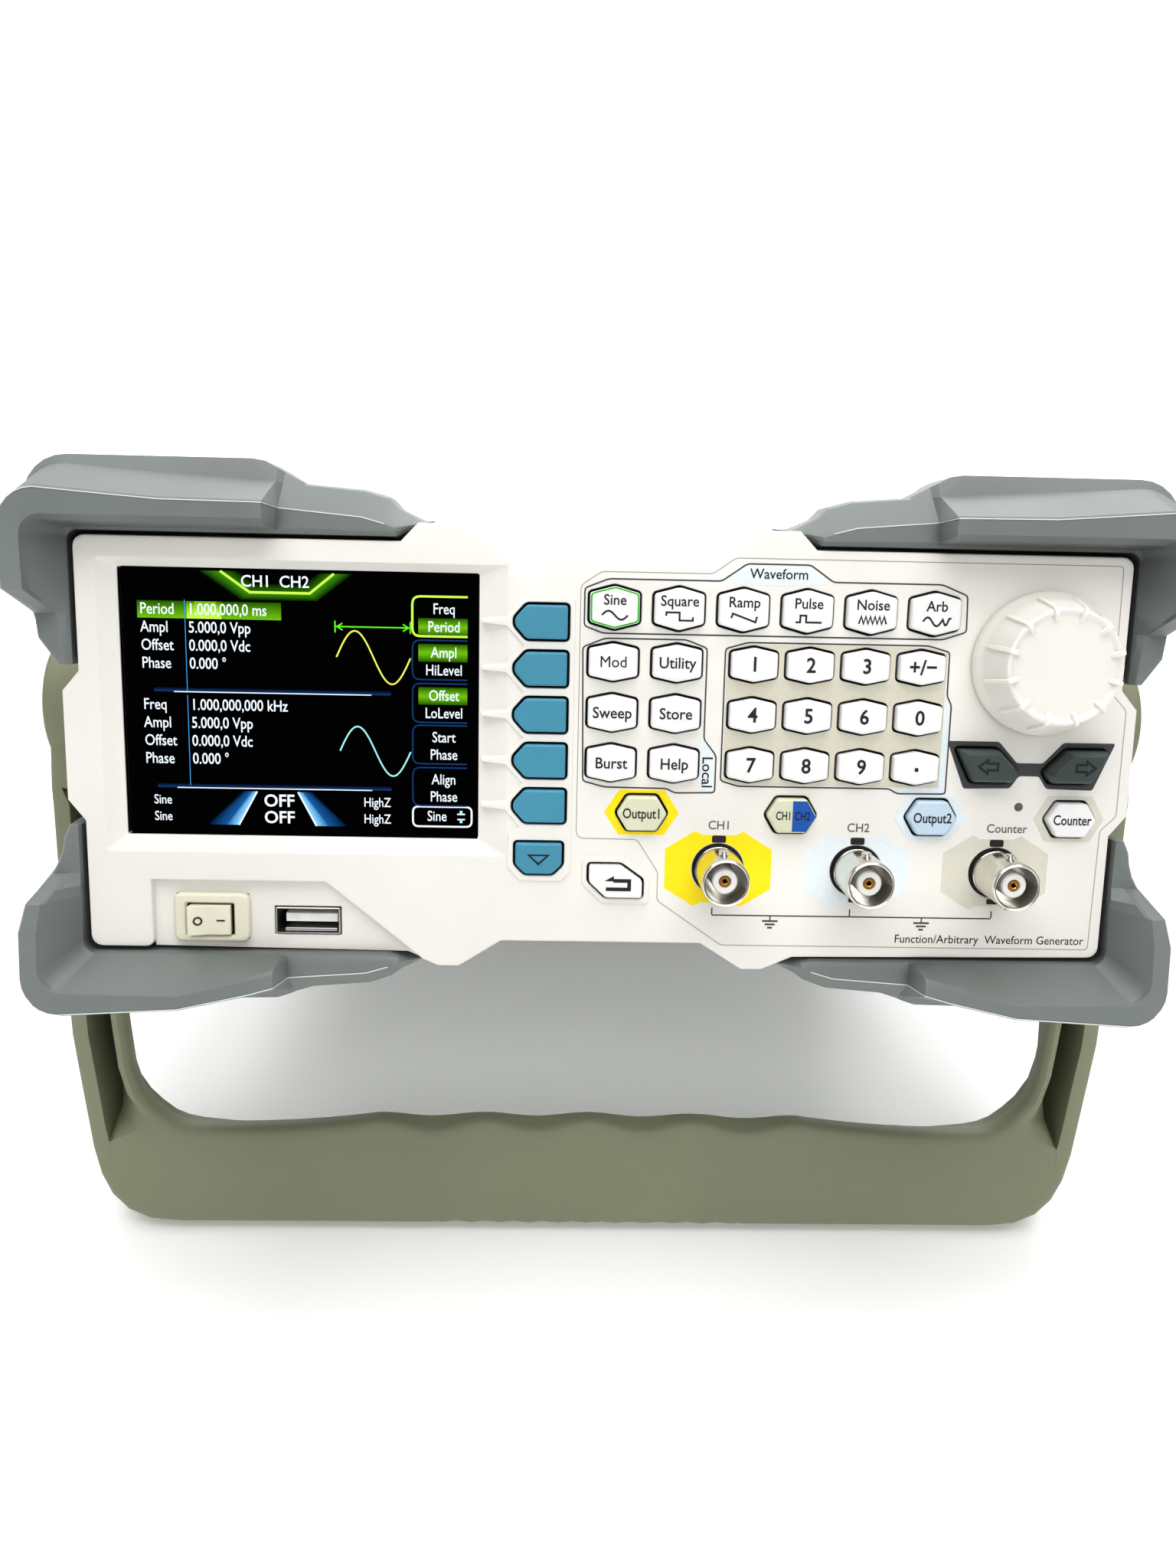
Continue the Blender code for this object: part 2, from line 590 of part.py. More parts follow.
def arm_section(outer, inner, front, back):
    """One section of the handle, its outer rear edge cut at the slope of the bench."""
    (ox, oz), (ix, iz) = outer, inner
    inward = Vector((ix - ox, iz - oz)).normalized() * (GRIP_BACK - GRIP_FOOT_Y) * math.tan(TILT)
    foot = back - (GRIP_BACK - GRIP_FOOT_Y)
    return [(ox, front, oz), (ox, foot, oz), (ox + inward.x, back, oz + inward.y), (ix, back, iz), (ix, front, iz)]


def handle_sections():
    """Sections from the left hub down the arm, round the corner and to the middle of the grip."""
    stations = [
        ((-130.0, PIVOT_Z), (-ARM_IN, PIVOT_Z), 43.0, 69.0),
        ((-130.0, -14.0), (-ARM_IN, -14.0), 41.0, 69.0),
        ((-128.6, -88.0), (-ARM_IN, -84.0), 43.6, 65.5),
        ((-126.6, -108.0), (-114.4, -93.0), 44.4, GRIP_BACK),
        ((-122.4, -121.0), (-108.6, -98.8), 44.7, GRIP_BACK),
        ((-114.0, -128.0), (-101.5, -102.2), 45.0, GRIP_BACK),
        ((-102.0, GRIP_BOTTOM), (-90.0, GRIP_TOP - 1.0), 45.0, GRIP_BACK),
        ((0.0, GRIP_BOTTOM), (0.0, GRIP_TOP), 45.0, GRIP_BACK),
    ]
    return [arm_section(*station) for station in stations]


def hub(side):
    """The round hub of one arm, with the stub shaft that turns in the case's side."""
    profile = [(8.5, 101.4), (8.5, 103.4), (SHAFT_R, 103.4), (SHAFT_R, CASE_X + 0.4), (11.0, CASE_X + 0.4)]
    profile += [(11.0, ARM_IN + 0.5), (HUB_R, ARM_IN + 0.5), (HUB_R, HUB_X - 1.4), (HUB_R - 1.4, HUB_X)]
    rings = [[(side * x, a, b) for a, b in circle(PIVOT_Y, PIVOT_Z, r, 24)] for r, x in profile]
    return loft(f"handle_hub_{'right' if side > 0 else 'left'}", rings, "handle_olive")


def arm_channel(side):
    """The groove down the front of one arm, between its outer and inner walls."""
    stations = [(122.2, 126.6, -20.0, 52.0), (122.0, 125.4, -86.0, 54.0), (120.6, 123.8, -98.0, 52.0)]
    rings = [[(side * a, 30, z), (side * b, 30, z), (side * b, y, z), (side * a, y, z)] for a, b, z, y in stations]
    return loft(f"arm_channel_cutter_{'right' if side > 0 else 'left'}", rings, "handle_olive")


def carry_handle():
    left = handle_sections()
    right = [[(-x, y, z) for x, y, z in section] for section in reversed(left[:-1])]
    handle = loft("carry_handle", left + right, "handle_olive", (0, PIVOT_Y, PIVOT_Z))
    for side in (-1, 1):
        boolean(handle, hub(side), "UNION")
        boolean(handle, arm_channel(side), "DIFFERENCE")


# ---------------------------------------------------------------- inside


def boards():
    holes = [circle(x, BNC_Z, BNC_BARREL_R + GAP, 12) for _, x in BNC_X]
    outline = rectangle(-21.5, 103.0, -37.0, 39.0)
    plate("keypad_board", [(8.0, outline), (8.0 + BOARD_T, outline)], holes, "board_green")
    board_top = MAIN_BOARD_Z + BOARD_T
    main = box("main_board", (-60.0, 36.0, MAIN_BOARD_Z), (96.0, 262.0, board_top), "board_green")
    cans = (("output_stage_can", 0.0, 44.0, 90.0, 100.0), ("clock_can", -50.0, 120.0, -10.0, 170.0))
    for name, x0, y0, x1, y1 in cans:
        can = box(name, (x0, y0, board_top - 0.6), (x1, y1, board_top + CAN_HEIGHT), "steel")
        boolean(main, can, "UNION")
    box("power_supply", (-100.0, 150.0, -38.0), (-64.0, 268.0, 6.0), "steel")


# ---------------------------------------------------------------- assembly


def make_materials():
    made = {}
    for name, (colour, roughness, metallic) in COLOURS.items():
        material = bpy.data.materials.new(name)
        material.use_nodes = True
        shader = material.node_tree.nodes["Principled BSDF"]
        shader.inputs["Base Color"].default_value = (*colour, 1.0)
        shader.inputs["Roughness"].default_value = roughness
        shader.inputs["Metallic"].default_value = metallic
        made[name] = material
    return made


def stand_on_bench():
    """Tilts the instrument and moves it so that its box stands on z = 0, centred over the origin."""
    STAND.rotation_euler = (-TILT, 0, 0)
    bpy.context.view_layer.update()
    corners = []
    graph = bpy.context.evaluated_depsgraph_get()
    for obj in bpy.context.scene.objects:
        if obj.type == "MESH" and not obj.hide_render:
            solid = obj.evaluated_get(graph)
            corners += [obj.matrix_world @ vertex.co for vertex in solid.data.vertices]
    middle = [(min(c[i] for c in corners) + max(c[i] for c in corners)) / 2 for i in (0, 1)]
    STAND.location = (-middle[0], -middle[1], -min(c.z for c in corners))
    bpy.context.view_layer.update()


for old in list(bpy.data.objects):
    bpy.data.objects.remove(old)
MATERIALS = make_materials()
STAND = bpy.data.objects.new("stand_pose", None)
bpy.context.scene.collection.objects.link(STAND)

front_bezel()
screen()
for key_name, key_outline, key_proud, key_material in key_outlines():
    key(key_name, key_outline, key_proud, key_material)
tuning_knob()
for socket_name, socket_x in BNC_X:
    bnc_socket(socket_name, socket_x)
usb_port()
power_switch()
for vertical, z_side in (("upper", 1), ("lower", -1)):
    for horizontal, x_side in (("left", -1), ("right", 1)):
        front_bumper(f"front_bumper_{vertical}_{horizontal}", x_side, z_side)
rear_bumper()
case_cover()
case_base()
rear_panel()
carry_handle()
boards()
stand_on_bench()
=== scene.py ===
"""The looks of the bench function generator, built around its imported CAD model.

Pieces are drawn in the case's own axes, in millimetres: X to the right, Y from the front panel's face
into the case, Z up. place() turns them into the tilted pose that the CAD model stands in.
"""

import json
import math

import bmesh
import bpy
from mathutils import Euler, Matrix, Vector
from mathutils.geometry import delaunay_2d_cdt


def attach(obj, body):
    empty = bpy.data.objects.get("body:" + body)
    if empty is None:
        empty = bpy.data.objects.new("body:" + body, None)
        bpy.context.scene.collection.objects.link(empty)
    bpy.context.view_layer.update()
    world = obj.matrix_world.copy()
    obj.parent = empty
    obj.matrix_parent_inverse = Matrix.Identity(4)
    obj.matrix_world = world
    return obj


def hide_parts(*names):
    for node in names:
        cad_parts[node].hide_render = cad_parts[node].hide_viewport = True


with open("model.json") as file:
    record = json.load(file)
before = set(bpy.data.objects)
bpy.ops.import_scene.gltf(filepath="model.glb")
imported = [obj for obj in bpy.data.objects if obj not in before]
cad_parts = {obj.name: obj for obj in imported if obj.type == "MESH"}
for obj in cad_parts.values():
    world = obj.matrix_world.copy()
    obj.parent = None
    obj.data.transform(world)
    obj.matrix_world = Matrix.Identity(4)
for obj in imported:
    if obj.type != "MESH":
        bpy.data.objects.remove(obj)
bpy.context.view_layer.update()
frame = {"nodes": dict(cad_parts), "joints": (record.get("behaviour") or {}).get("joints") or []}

MM = 0.001
NODES = frame["nodes"]
JOINTS = {joint["name"]: joint for joint in frame["joints"]}
MAIN = "instrument"

# The case's axes in the frame: a key travels along the case's Y.
INTO = Vector(JOINTS["key_sine_press"]["axis"])
RIGHT = Vector((1, 0, 0))
UP = RIGHT.cross(INTO)
TURN = Matrix((RIGHT, INTO, UP)).transposed()


def level_points(node):
    """A CAD node's corners in the case's directions, in millimetres, from the frame's origin."""
    back = TURN.transposed()
    return [back @ vertex.co / MM for vertex in NODES[node].data.vertices]


# The bezel's face and its highest point place the origin of the case's axes.
HUMP_Z = 45.5
BEZEL = level_points("front_bezel")
FACE_Y = min(point.y for point in BEZEL)
CENTRE_Z = max(point.z for point in BEZEL) - HUMP_Z
ORIGIN = Vector((0, FACE_Y, CENTRE_Z))
CASE = Matrix.Translation(TURN @ ORIGIN * MM) @ TURN.to_4x4()


def case_points(node):
    return [point - ORIGIN for point in level_points(node)]


def case_box(node):
    points = case_points(node)
    return [(min(p[i] for p in points), max(p[i] for p in points)) for i in range(3)]


# ---------------------------------------------------------------- outlines, as (x, z) points


def rectangle(x0, x1, z0, z1):
    return [(x0, z0), (x1, z0), (x1, z1), (x0, z1)]


def centred(x, z, width, height):
    return rectangle(x - width / 2, x + width / 2, z - height / 2, z + height / 2)


def circle(x, z, radius, count=32):
    turn = 2 * math.pi / count
    return [(x + radius * math.cos(i * turn), z + radius * math.sin(i * turn)) for i in range(count)]


def arc(x, z, radius, start, end, count):
    angles = [math.radians(start + (end - start) * i / (count - 1)) for i in range(count)]
    return [(x + radius * math.cos(a), z + radius * math.sin(a)) for a in angles]


def signed_area(outline):
    return sum(a[0] * b[1] - b[0] * a[1] for a, b in zip(outline, outline[1:] + outline[:1])) / 2


def grow(outline, distance):
    """The outline with each edge moved outwards by a distance."""
    side = 1 if signed_area(outline) > 0 else -1
    count = len(outline)
    grown = []
    for i, (x, z) in enumerate(outline):
        before, after = outline[i - 1], outline[(i + 1) % count]
        first = Vector((z - before[1], before[0] - x)).normalized() * side
        second = Vector((after[1] - z, x - after[0])).normalized() * side
        shift = (first + second) * distance / max(0.3, 1 + first.dot(second))
        grown.append((x + shift.x, z + shift.y))
    return grown


def rounded(outline, radius, steps=4):
    """The outline with each corner replaced by a short curve."""
    count = len(outline)
    points = []
    for i, (x, z) in enumerate(outline):
        corner = Vector((x, z))
        before, after = Vector(outline[i - 1]), Vector(outline[(i + 1) % count])
        back, on = before - corner, after - corner
        reach = min(radius, back.length * 0.45, on.length * 0.45)
        start, end = corner + back.normalized() * reach, corner + on.normalized() * reach
        for step in range(steps + 1):
            t = step / steps
            point = start * (1 - t) ** 2 + corner * 2 * t * (1 - t) + end * t**2
            points.append((point.x, point.y))
    return points


def mirrored(points):
    return [(-x, z) for x, z in reversed(points)]


def moved(points, x, z, scale=1.0):
    return [(x + px * scale, z + pz * scale) for px, pz in points]


# ---------------------------------------------------------------- materials


class Nodes:
    """Builds one node material round a Principled shader."""

    def __init__(self, name, colour, roughness, metallic=0.0):
        self.material = bpy.data.materials.new(name)
        self.material.use_nodes = True
        self.tree = self.material.node_tree
        self.shader = self.tree.nodes["Principled BSDF"]
        self.set("Base Color", (*colour, 1.0))
        self.set("Roughness", roughness)
        self.set("Metallic", metallic)
        self.place = self.tree.nodes.new("ShaderNodeTexCoord").outputs["Object"]

    def set(self, socket, value):
        self.shader.inputs[socket].default_value = value

    def join(self, source, node, socket):
        self.tree.links.new(source, node.inputs[socket])

    def noise(self, scale, detail=4.0, rough=0.6):
        node = self.tree.nodes.new("ShaderNodeTexNoise")
        node.inputs["Scale"].default_value = scale
        node.inputs["Detail"].default_value = detail
        node.inputs["Roughness"].default_value = rough
        self.join(self.place, node, "Vector")
        return node.outputs["Fac"]

    def cells(self, scale):
        node = self.tree.nodes.new("ShaderNodeTexVoronoi")
        node.inputs["Scale"].default_value = scale
        self.join(self.place, node, "Vector")
        return node.outputs["Distance"]

    def ramp(self, source, stops):
        node = self.tree.nodes.new("ShaderNodeValToRGB")
        self.join(source, node, "Fac")
        elements = node.color_ramp.elements
        while len(elements) < len(stops):
            elements.new(0.5)
        for element, (position, value) in zip(elements, stops):
            element.position = position
            element.color = (*value, 1.0) if isinstance(value, tuple) else (value, value, value, 1.0)
        return node.outputs["Color"]

    def shades(self, source, colour, dark, light, low=0.3, high=0.7):
        """A pattern in a darker and a lighter shade of a colour."""
        return self.ramp(source, [(low, shade(colour, dark)), (high, shade(colour, light))])

    def remap(self, source, low, high):
        node = self.tree.nodes.new("ShaderNodeMapRange")
        self.join(source, node, "Value")
        node.inputs["To Min"].default_value = low
        node.inputs["To Max"].default_value = high
        return node.outputs["Result"]

    def mix(self, factor, first, second, blend="MIX"):
        node = self.tree.nodes.new("ShaderNodeMix")
        node.data_type = "RGBA"
        node.blend_type = blend
        for socket, value in ((0, factor), (6, first), (7, second)):
            if isinstance(value, (int, float)):
                node.inputs[socket].default_value = value
            elif isinstance(value, tuple):
                node.inputs[socket].default_value = (*value, 1.0)
            else:
                self.tree.links.new(value, node.inputs[socket])
        return node.outputs[2]

    def bump(self, height, strength, distance):
        node = self.tree.nodes.new("ShaderNodeBump")
        node.inputs["Strength"].default_value = strength
        node.inputs["Distance"].default_value = distance * MM
        self.join(height, node, "Height")
        return node.outputs["Normal"]

    def edges(self, low=0.52, high=0.6):
        """Bright where the surface turns a convex edge."""
        node = self.tree.nodes.new("ShaderNodeNewGeometry")
        return self.ramp(node.outputs["Pointiness"], [(low, 0.0), (high, 1.0)])

    def painted_shade(self, reach):
        """Painted shade: dark deep in hollows, where light hardly reaches."""
        node = self.tree.nodes.new("ShaderNodeAmbientOcclusion")
        node.inputs["Distance"].default_value = reach * MM
        return node.outputs["AO"]

    def wire(self, socket, source):
        self.join(source, self.shader, socket)


def shade(colour, factor):
    return tuple(min(1.0, channel * factor) for channel in colour)


def plastic(name, colour, roughness=0.42, grain=0.012, scale=9000.0, mottle=0.03):
    """Moulded plastic: a fine spark-eroded grain, faint clouding and edges polished by handling."""
    n = Nodes(name, colour, roughness)
    cloud = n.noise(28.0, 5.0, 0.6)
    tint = n.shades(cloud, colour, 1 - mottle, 1 + mottle)
    n.wire("Base Color", n.mix(n.edges(), tint, shade(colour, 1.06)))
    n.wire("Roughness", n.remap(n.noise(160.0, 3.0), roughness - 0.05, roughness + 0.08))
    n.wire("Normal", n.bump(n.noise(scale, 2.0), 0.35, grain))
    n.set("Specular IOR Level", 0.4)
    return n.material


def rubber(name, colour):
    """Soft bumper skin: a satin elastomer with a fine grain, pale along its rubbed edges, and painted shade
    darkening its hollows.
    """
    n = Nodes(name, colour, 0.5)
    cloud = n.noise(22.0, 6.0, 0.65)
    tint = n.shades(cloud, colour, 0.95, 1.05, 0.25, 0.75)
    rubbed = n.mix(n.edges(0.51, 0.58), tint, shade(colour, 1.3))
    # painted shade: the rubber's colour is multiplied by occlusion, darkest deep in its hollows
    n.wire("Base Color", n.mix(1.0, rubbed, n.ramp(n.painted_shade(26.0), [(0.3, 0.3), (0.9, 1.0)]), "MULTIPLY"))
    n.wire("Roughness", n.remap(n.noise(90.0, 4.0), 0.42, 0.56))
    n.wire("Normal", n.bump(n.noise(5200.0, 3.0), 0.4, 0.02))
    n.set("Sheen Weight", 0.12)
    n.set("Sheen Roughness", 0.5)
    return n.material


def metal(name, colour, roughness, scratch=0.25):
    """Plated or bare metal with fine scratches and a little tarnish."""
    n = Nodes(name, colour, roughness, 1.0)
    n.wire("Base Color", n.shades(n.noise(420.0, 5.0), colour, 0.92, 1.04))
    n.wire("Roughness", n.remap(n.noise(700.0, 4.0), roughness - 0.06, roughness + 0.1))
    n.wire("Normal", n.bump(n.noise(2600.0, 2.0), scratch, 0.01))
    return n.material


def paint(name, colour, roughness=0.5):
    """Powder coat: a low orange peel over a fine speckle."""
    n = Nodes(name, colour, roughness)
    n.wire("Base Color", n.shades(n.noise(40.0, 6.0), colour, 0.98, 1.02))
    n.wire("Roughness", n.remap(n.noise(300.0, 3.0), roughness - 0.06, roughness + 0.08))
    n.wire("Normal", n.bump(n.cells(1500.0), 0.25, 0.03))
    return n.material


def ink(name, colour, roughness=0.5, shine=0.5):
    """Screen printing: a thin, slightly uneven film of ink."""
    n = Nodes(name, colour, roughness)
    n.set("Specular IOR Level", shine)
    n.wire("Base Color", n.shades(n.noise(900.0, 3.0), colour, 0.97, 1.03))
    n.wire("Roughness", n.remap(n.noise(2000.0, 2.0), roughness - 0.08, roughness + 0.08))
    return n.material


def glow(name, colour, strength):
    """A lit part of the display: rows of picture elements with a slight shimmer between them."""
    n = Nodes(name, (0.0, 0.0, 0.0), 0.5)
    rows = n.ramp(n.noise(2600.0, 1.0), [(0.25, 0.82), (0.75, 1.0)])
    n.wire("Emission Color", n.mix(1.0, rows, colour, "MULTIPLY"))
    n.set("Emission Strength", strength)
    return n.material


def display_light(name):
    """The display's own light: each corner's colour, broken up by the fine rows of picture elements."""
    n = Nodes(name, (0.0, 0.0, 0.0), 0.5)
    colour = n.tree.nodes.new("ShaderNodeAttribute")
    colour.attribute_name = "light"
    rows = n.ramp(n.noise(3000.0, 1.0), [(0.25, 0.85), (0.7, 1.0)])
    n.wire("Emission Color", n.mix(1.0, rows, colour.outputs["Color"], "MULTIPLY"))
    n.set("Emission Strength", 1.15)
    n.set("Specular IOR Level", 0.0)
    return n.material


def glass(name):
    """The display window: clear, with a faint smear of fingerprints in its roughness."""
    n = Nodes(name, (1.0, 1.0, 1.0), 0.03)
    n.set("Transmission Weight", 1.0)
    n.set("IOR", 1.08)
    n.wire("Roughness", n.ramp(n.noise(60.0, 6.0, 0.7), [(0.45, 0.0), (0.8, 0.03)]))
    return n.material


def insulator(name):
    """White fluoropolymer, slightly translucent."""
    n = Nodes(name, (0.86, 0.86, 0.83), 0.4)
    n.wire("Base Color", n.ramp(n.noise(400.0), [(0.3, (0.80, 0.80, 0.77)), (0.7, (0.9, 0.9, 0.87))]))
    n.set("Subsurface Weight", 0.15)
    n.set("Subsurface Scale", 0.5 * MM)
    return n.material


def board(name):
    """Green solder mask with a faint pattern of tracks under it."""
    n = Nodes(name, (0.02, 0.12, 0.05), 0.4)
    n.wire("Base Color", n.ramp(n.cells(400.0), [(0.1, (0.03, 0.2, 0.08)), (0.3, (0.015, 0.1, 0.04))]))
    n.wire("Normal", n.bump(n.cells(400.0), 0.3, 0.05))
    return n.material


# Each plastic: its colour, then roughness, depth and scale of the grain, and mottle where they differ.
SMOOTH = (0.36, 0.006)
PLASTICS = {
    "panel_white": ((0.83, 0.81, 0.765), 0.42),
    "knob_cream": ((0.84, 0.82, 0.77), *SMOOTH),
    "key_white": ((0.88, 0.885, 0.88), *SMOOTH),
    "key_blue": ((0.072, 0.29, 0.41), 0.38, 0.006, 9000.0, 0.05),
    "key_yellow": ((0.70, 0.71, 0.53), 0.38, 0.006),
    "key_pale_blue": ((0.55, 0.68, 0.80), 0.38, 0.006),
    "key_slate": ((0.062, 0.082, 0.078), *SMOOTH, 9000.0, 0.06),
    "handle_olive": ((0.25, 0.26, 0.175), 0.5, 0.02, 6000.0, 0.04),
    "switch_ivory": ((0.76, 0.73, 0.60), 0.34, 0.004),
    "dark_plastic": ((0.012, 0.012, 0.014), 0.5, 0.01),
}
INKS = {
    "dark_ink_and_shade": (0.012, 0.012, 0.014),
    "ink_line": (0.06, 0.06, 0.065),
    "ink_grey": (0.12, 0.12, 0.125),
    "ink_faint": (0.36, 0.34, 0.30),
    "pad_yellow": (1.0, 0.78, 0.0),
    "pad_blue": (0.78, 0.85, 0.88),
    "pad_beige": (0.70, 0.68, 0.59),
    "pad_deep_blue": (0.005, 0.10, 0.42),
    "pad_slate": (0.06, 0.06, 0.062),
    "keypad_beige": (0.69, 0.66, 0.55),
}
MATERIALS = {name: plastic(name, *values) for name, values in PLASTICS.items()}
MATERIALS.update({name: ink(name, colour) for name, colour in INKS.items()})
MATERIALS.update({
    "bumper_grey": rubber("bumper_rubber", (0.185, 0.205, 0.198)),
    # the parting line's bead is paler than the rubber, as a painted highlight along the ridge
    "flash_highlight": rubber("parting_line_highlight", (0.55, 0.58, 0.56)),
    "case_grey": paint("case_paint", (0.42, 0.43, 0.425)),
    "steel": metal("steel", (0.62, 0.62, 0.61), 0.3),
    "nickel": metal("nickel_plate", (0.80, 0.77, 0.72), 0.16, 0.12),
    "gold": metal("gold_plate", (0.82, 0.46, 0.12), 0.22, 0.1),
    "screen_glass": glass("window_glass"),
    "board_green": board("board_solder_mask"),
    "white_insulator": insulator("white_insulator"),
    "lcd_black": ink("lcd_black", (0.0006, 0.0006, 0.0009), 0.6, 0.0),
    "lcd_light": display_light("lcd_light"),
    "lit_green": glow("lit_green", (0.03, 0.6, 0.02), 0.8),
})


# ---------------------------------------------------------------- pieces


FLAT_WEIGHT = 80  # how far a large face outweighs a small one in the normals
REAR_FACE = 292.0
FRONT, REAR = Matrix(), Matrix.Translation((0, REAR_FACE, 0)) @ Matrix.Rotation(math.pi, 4, "Z")


def link(obj):
    bpy.context.scene.collection.objects.link(obj)


def place(name, bm, material, body=MAIN, sharp=35.0, replaces=(), seen_from=FRONT):
    """Makes a piece from a bmesh drawn in the case's axes and lets it ride on a body.

    A piece seen from REAR is drawn as someone facing the rear panel sees it: X to the right, Y into
    the panel."""
    bmesh.ops.recalc_face_normals(bm, faces=bm.faces)
    bmesh.ops.transform(bm, matrix=CASE @ Matrix.Scale(MM, 4) @ seen_from, verts=bm.verts)
    mesh = bpy.data.meshes.new(name)
    bm.to_mesh(mesh)
    bm.free()
    mesh.materials.append(MATERIALS[material])
    mesh.shade_smooth()
    mesh.set_sharp_from_angle(angle=math.radians(sharp))
    obj = bpy.data.objects.new(name, mesh)
    link(obj)
    flat = obj.modifiers.new("flat_faces", "WEIGHTED_NORMAL")
    flat.keep_sharp, flat.weight = True, FLAT_WEIGHT
    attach(obj, body)
    if replaces:
        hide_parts(*replaces)
    return obj


def at_y(outline, y):
    return [(x, y, z) for x, z in outline]


def bridge(bm, first, second):
    for i in range(len(first)):
        bm.faces.new((first[i - 1], first[i], second[i], second[i - 1]))


def skin(bm, rings):
    """Adds the wall through rings of 3D points, and gives its loops of corners."""
    loops = [[bm.verts.new(point) for point in ring] for ring in rings]
    for first, second in zip(loops, loops[1:]):
        bridge(bm, first, second)
    return loops


def crossings(x, z, outline):
    """How many edges of an outline a ray from a point towards +X crosses."""
    count = 0
    for (x0, z0), (x1, z1) in zip(outline, outline[1:] + outline[:1]):
        if (z0 > z) != (z1 > z) and x < x0 + (z - z0) * (x1 - x0) / (z1 - z0):
            count += 1
    return count


def cap(bm, loops):
    """A face over an outline, with the other loops as holes in it."""
    corners = [vertex for loop in loops for vertex in loop]
    outlines = [[(vertex.co.x, vertex.co.z) for vertex in loop] for loop in loops]
    edges = []
    for loop in loops:
        first = len(edges)
        edges += [(first + i, first + (i + 1) % len(loop)) for i in range(len(loop))]
    flat = [Vector(point) for outline in outlines for point in outline]
    points, _, triangles, sources, _, _ = delaunay_2d_cdt(flat, edges, [], 0, 1e-7)
    if len(points) > len(flat):
        raise ValueError(f"outlines cross near {points[len(flat)]}")
    for triangle in triangles:
        x, z = sum((points[i] for i in triangle), Vector((0, 0))) / 3
        if sum(crossings(x, z, outline) for outline in outlines) % 2:
            bm.faces.new([corners[sources[i][0]] for i in triangle])


def add_loft(bm, rings, looped=False):
    """Adds a solid through rings of 3D points, with flat ends or joined end to end."""
    loops = skin(bm, rings)
    if looped:
        bridge(bm, loops[-1], loops[0])
    else:
        bm.faces.new(loops[0])
        bm.faces.new(loops[-1])


def loft(name, rings, material, body=MAIN, looped=False, **options):
    bm = bmesh.new()
    add_loft(bm, rings, looped)
    return place(name, bm, material, body, **options)


def add_plate(bm, rings, holes=()):
    """Adds a plate: rings from its front face round the edge to its back, and holes made the same way."""
    walls = [skin(bm, rings)] + [skin(bm, hole) for hole in holes]
    cap(bm, [wall[0] for wall in walls])
    cap(bm, [wall[-1] for wall in walls])


def edge_rings(outline, y_face, y_back, radius, steps=3):
    """Rings from a face round a rounded edge and straight back."""
    rings = []
    for i in range(steps + 1):
        angle = math.pi / 2 * i / steps
        inset = radius * (1 - math.sin(angle))
        rings.append(at_y(grow(outline, -inset), y_face + radius * (1 - math.cos(angle))))
    return rings + [at_y(outline, y_back)]


def plate(name, rings, holes, material, body=MAIN, **options):
    bm = bmesh.new()
    add_plate(bm, rings, holes)
    return place(name, bm, material, body, **options)


def straight(outline, y0, y1, soft=0.15):
    """A hole through a plate, its front edge slightly broken."""
    return [at_y(grow(outline, soft), y0), at_y(outline, y0 + soft), at_y(outline, y1)]


def turned_rings(x, z, profile, count=40):
    return [at_y(circle(x, z, radius, count), y) for radius, y in profile]


def ribbon(bm, points, width, y, closed=False, depth=0.04):
    """Adds a thin flat line along points, as screen printing stands on a surface."""
    count = len(points)
    left, right = [], []
    for i, (x, z) in enumerate(points):
        before = points[i - 1] if closed or i else None
        after = points[(i + 1) % count] if closed or i < count - 1 else None
        directions = []
        if before is not None:
            directions.append(Vector((x - before[0], z - before[1])).normalized())
        if after is not None:
            directions.append(Vector((after[0] - x, after[1] - z)).normalized())
        normal = sum((Vector((-d.y, d.x)) for d in directions), Vector((0, 0)))
        normal = normal.normalized()
        reach = width / 2 / max(0.5, normal.dot(Vector((-directions[0].y, directions[0].x))))
        left.append((x + normal.x * reach, z + normal.y * reach))
        right.append((x - normal.x * reach, z - normal.y * reach))
    sections = []
    for a, b in zip(left, right):
        near, far = y, y - depth
        sections.append([(a[0], near, a[1]), (a[0], far, a[1]), (b[0], far, b[1]), (b[0], near, b[1])])
    add_loft(bm, sections, looped=closed)


class Print:
    """Everything printed in one colour on one body, gathered into one piece."""

    def __init__(self, name, material, body=MAIN, y=0.0, depth=0.04, **options):
        self.name, self.material, self.body, self.y, self.depth = name, material, body, y, depth
        self.options, self.bm = options, bmesh.new()

    def line(self, points, width, closed=False):
        ribbon(self.bm, points, width, self.y, closed, self.depth)
        return self

    def shape(self, outline, holes=()):
        levels = (self.y - self.depth, self.y)
        add_plate(
            self.bm, [at_y(outline, y) for y in levels], [[at_y(hole, y) for y in levels] for hole in holes]
        )
        return self

    def text(self, words, x, z, size, squeeze=0.88, align="CENTER", bold=0.0, turn=0.0):
        curve = bpy.data.curves.new("lettering", "FONT")
        curve.body, curve.size = words, size
        curve.align_x, curve.align_y = align, "CENTER"
        curve.extrude = self.depth / 2
        curve.offset = bold
        curve.resolution_u = 3
        holder = bpy.data.objects.new("lettering", curve)
        link(holder)
        bpy.context.view_layer.update()
        mesh = bpy.data.meshes.new_from_object(holder)
        bpy.data.objects.remove(holder)
        upright = Matrix.Rotation(math.pi / 2, 4, "X")
        spin = Matrix.Rotation(math.radians(turn), 4, "Z")
        narrow = Matrix.Diagonal((squeeze, 1, 1, 1))
        mesh.transform(Matrix.Translation((x, self.y - self.depth / 2, z)) @ upright @ spin @ narrow)
        part = bmesh.new()
        part.from_mesh(mesh)
        bmesh.ops.remove_doubles(part, verts=part.verts, dist=1e-5)
        part.to_mesh(mesh)
        part.free()
        self.bm.from_mesh(mesh)
        bpy.data.meshes.remove(mesh)
        return self

    def done(self):
        return place(self.name, self.bm, self.material, self.body, **self.options)


# ---------------------------------------------------------------- front panel

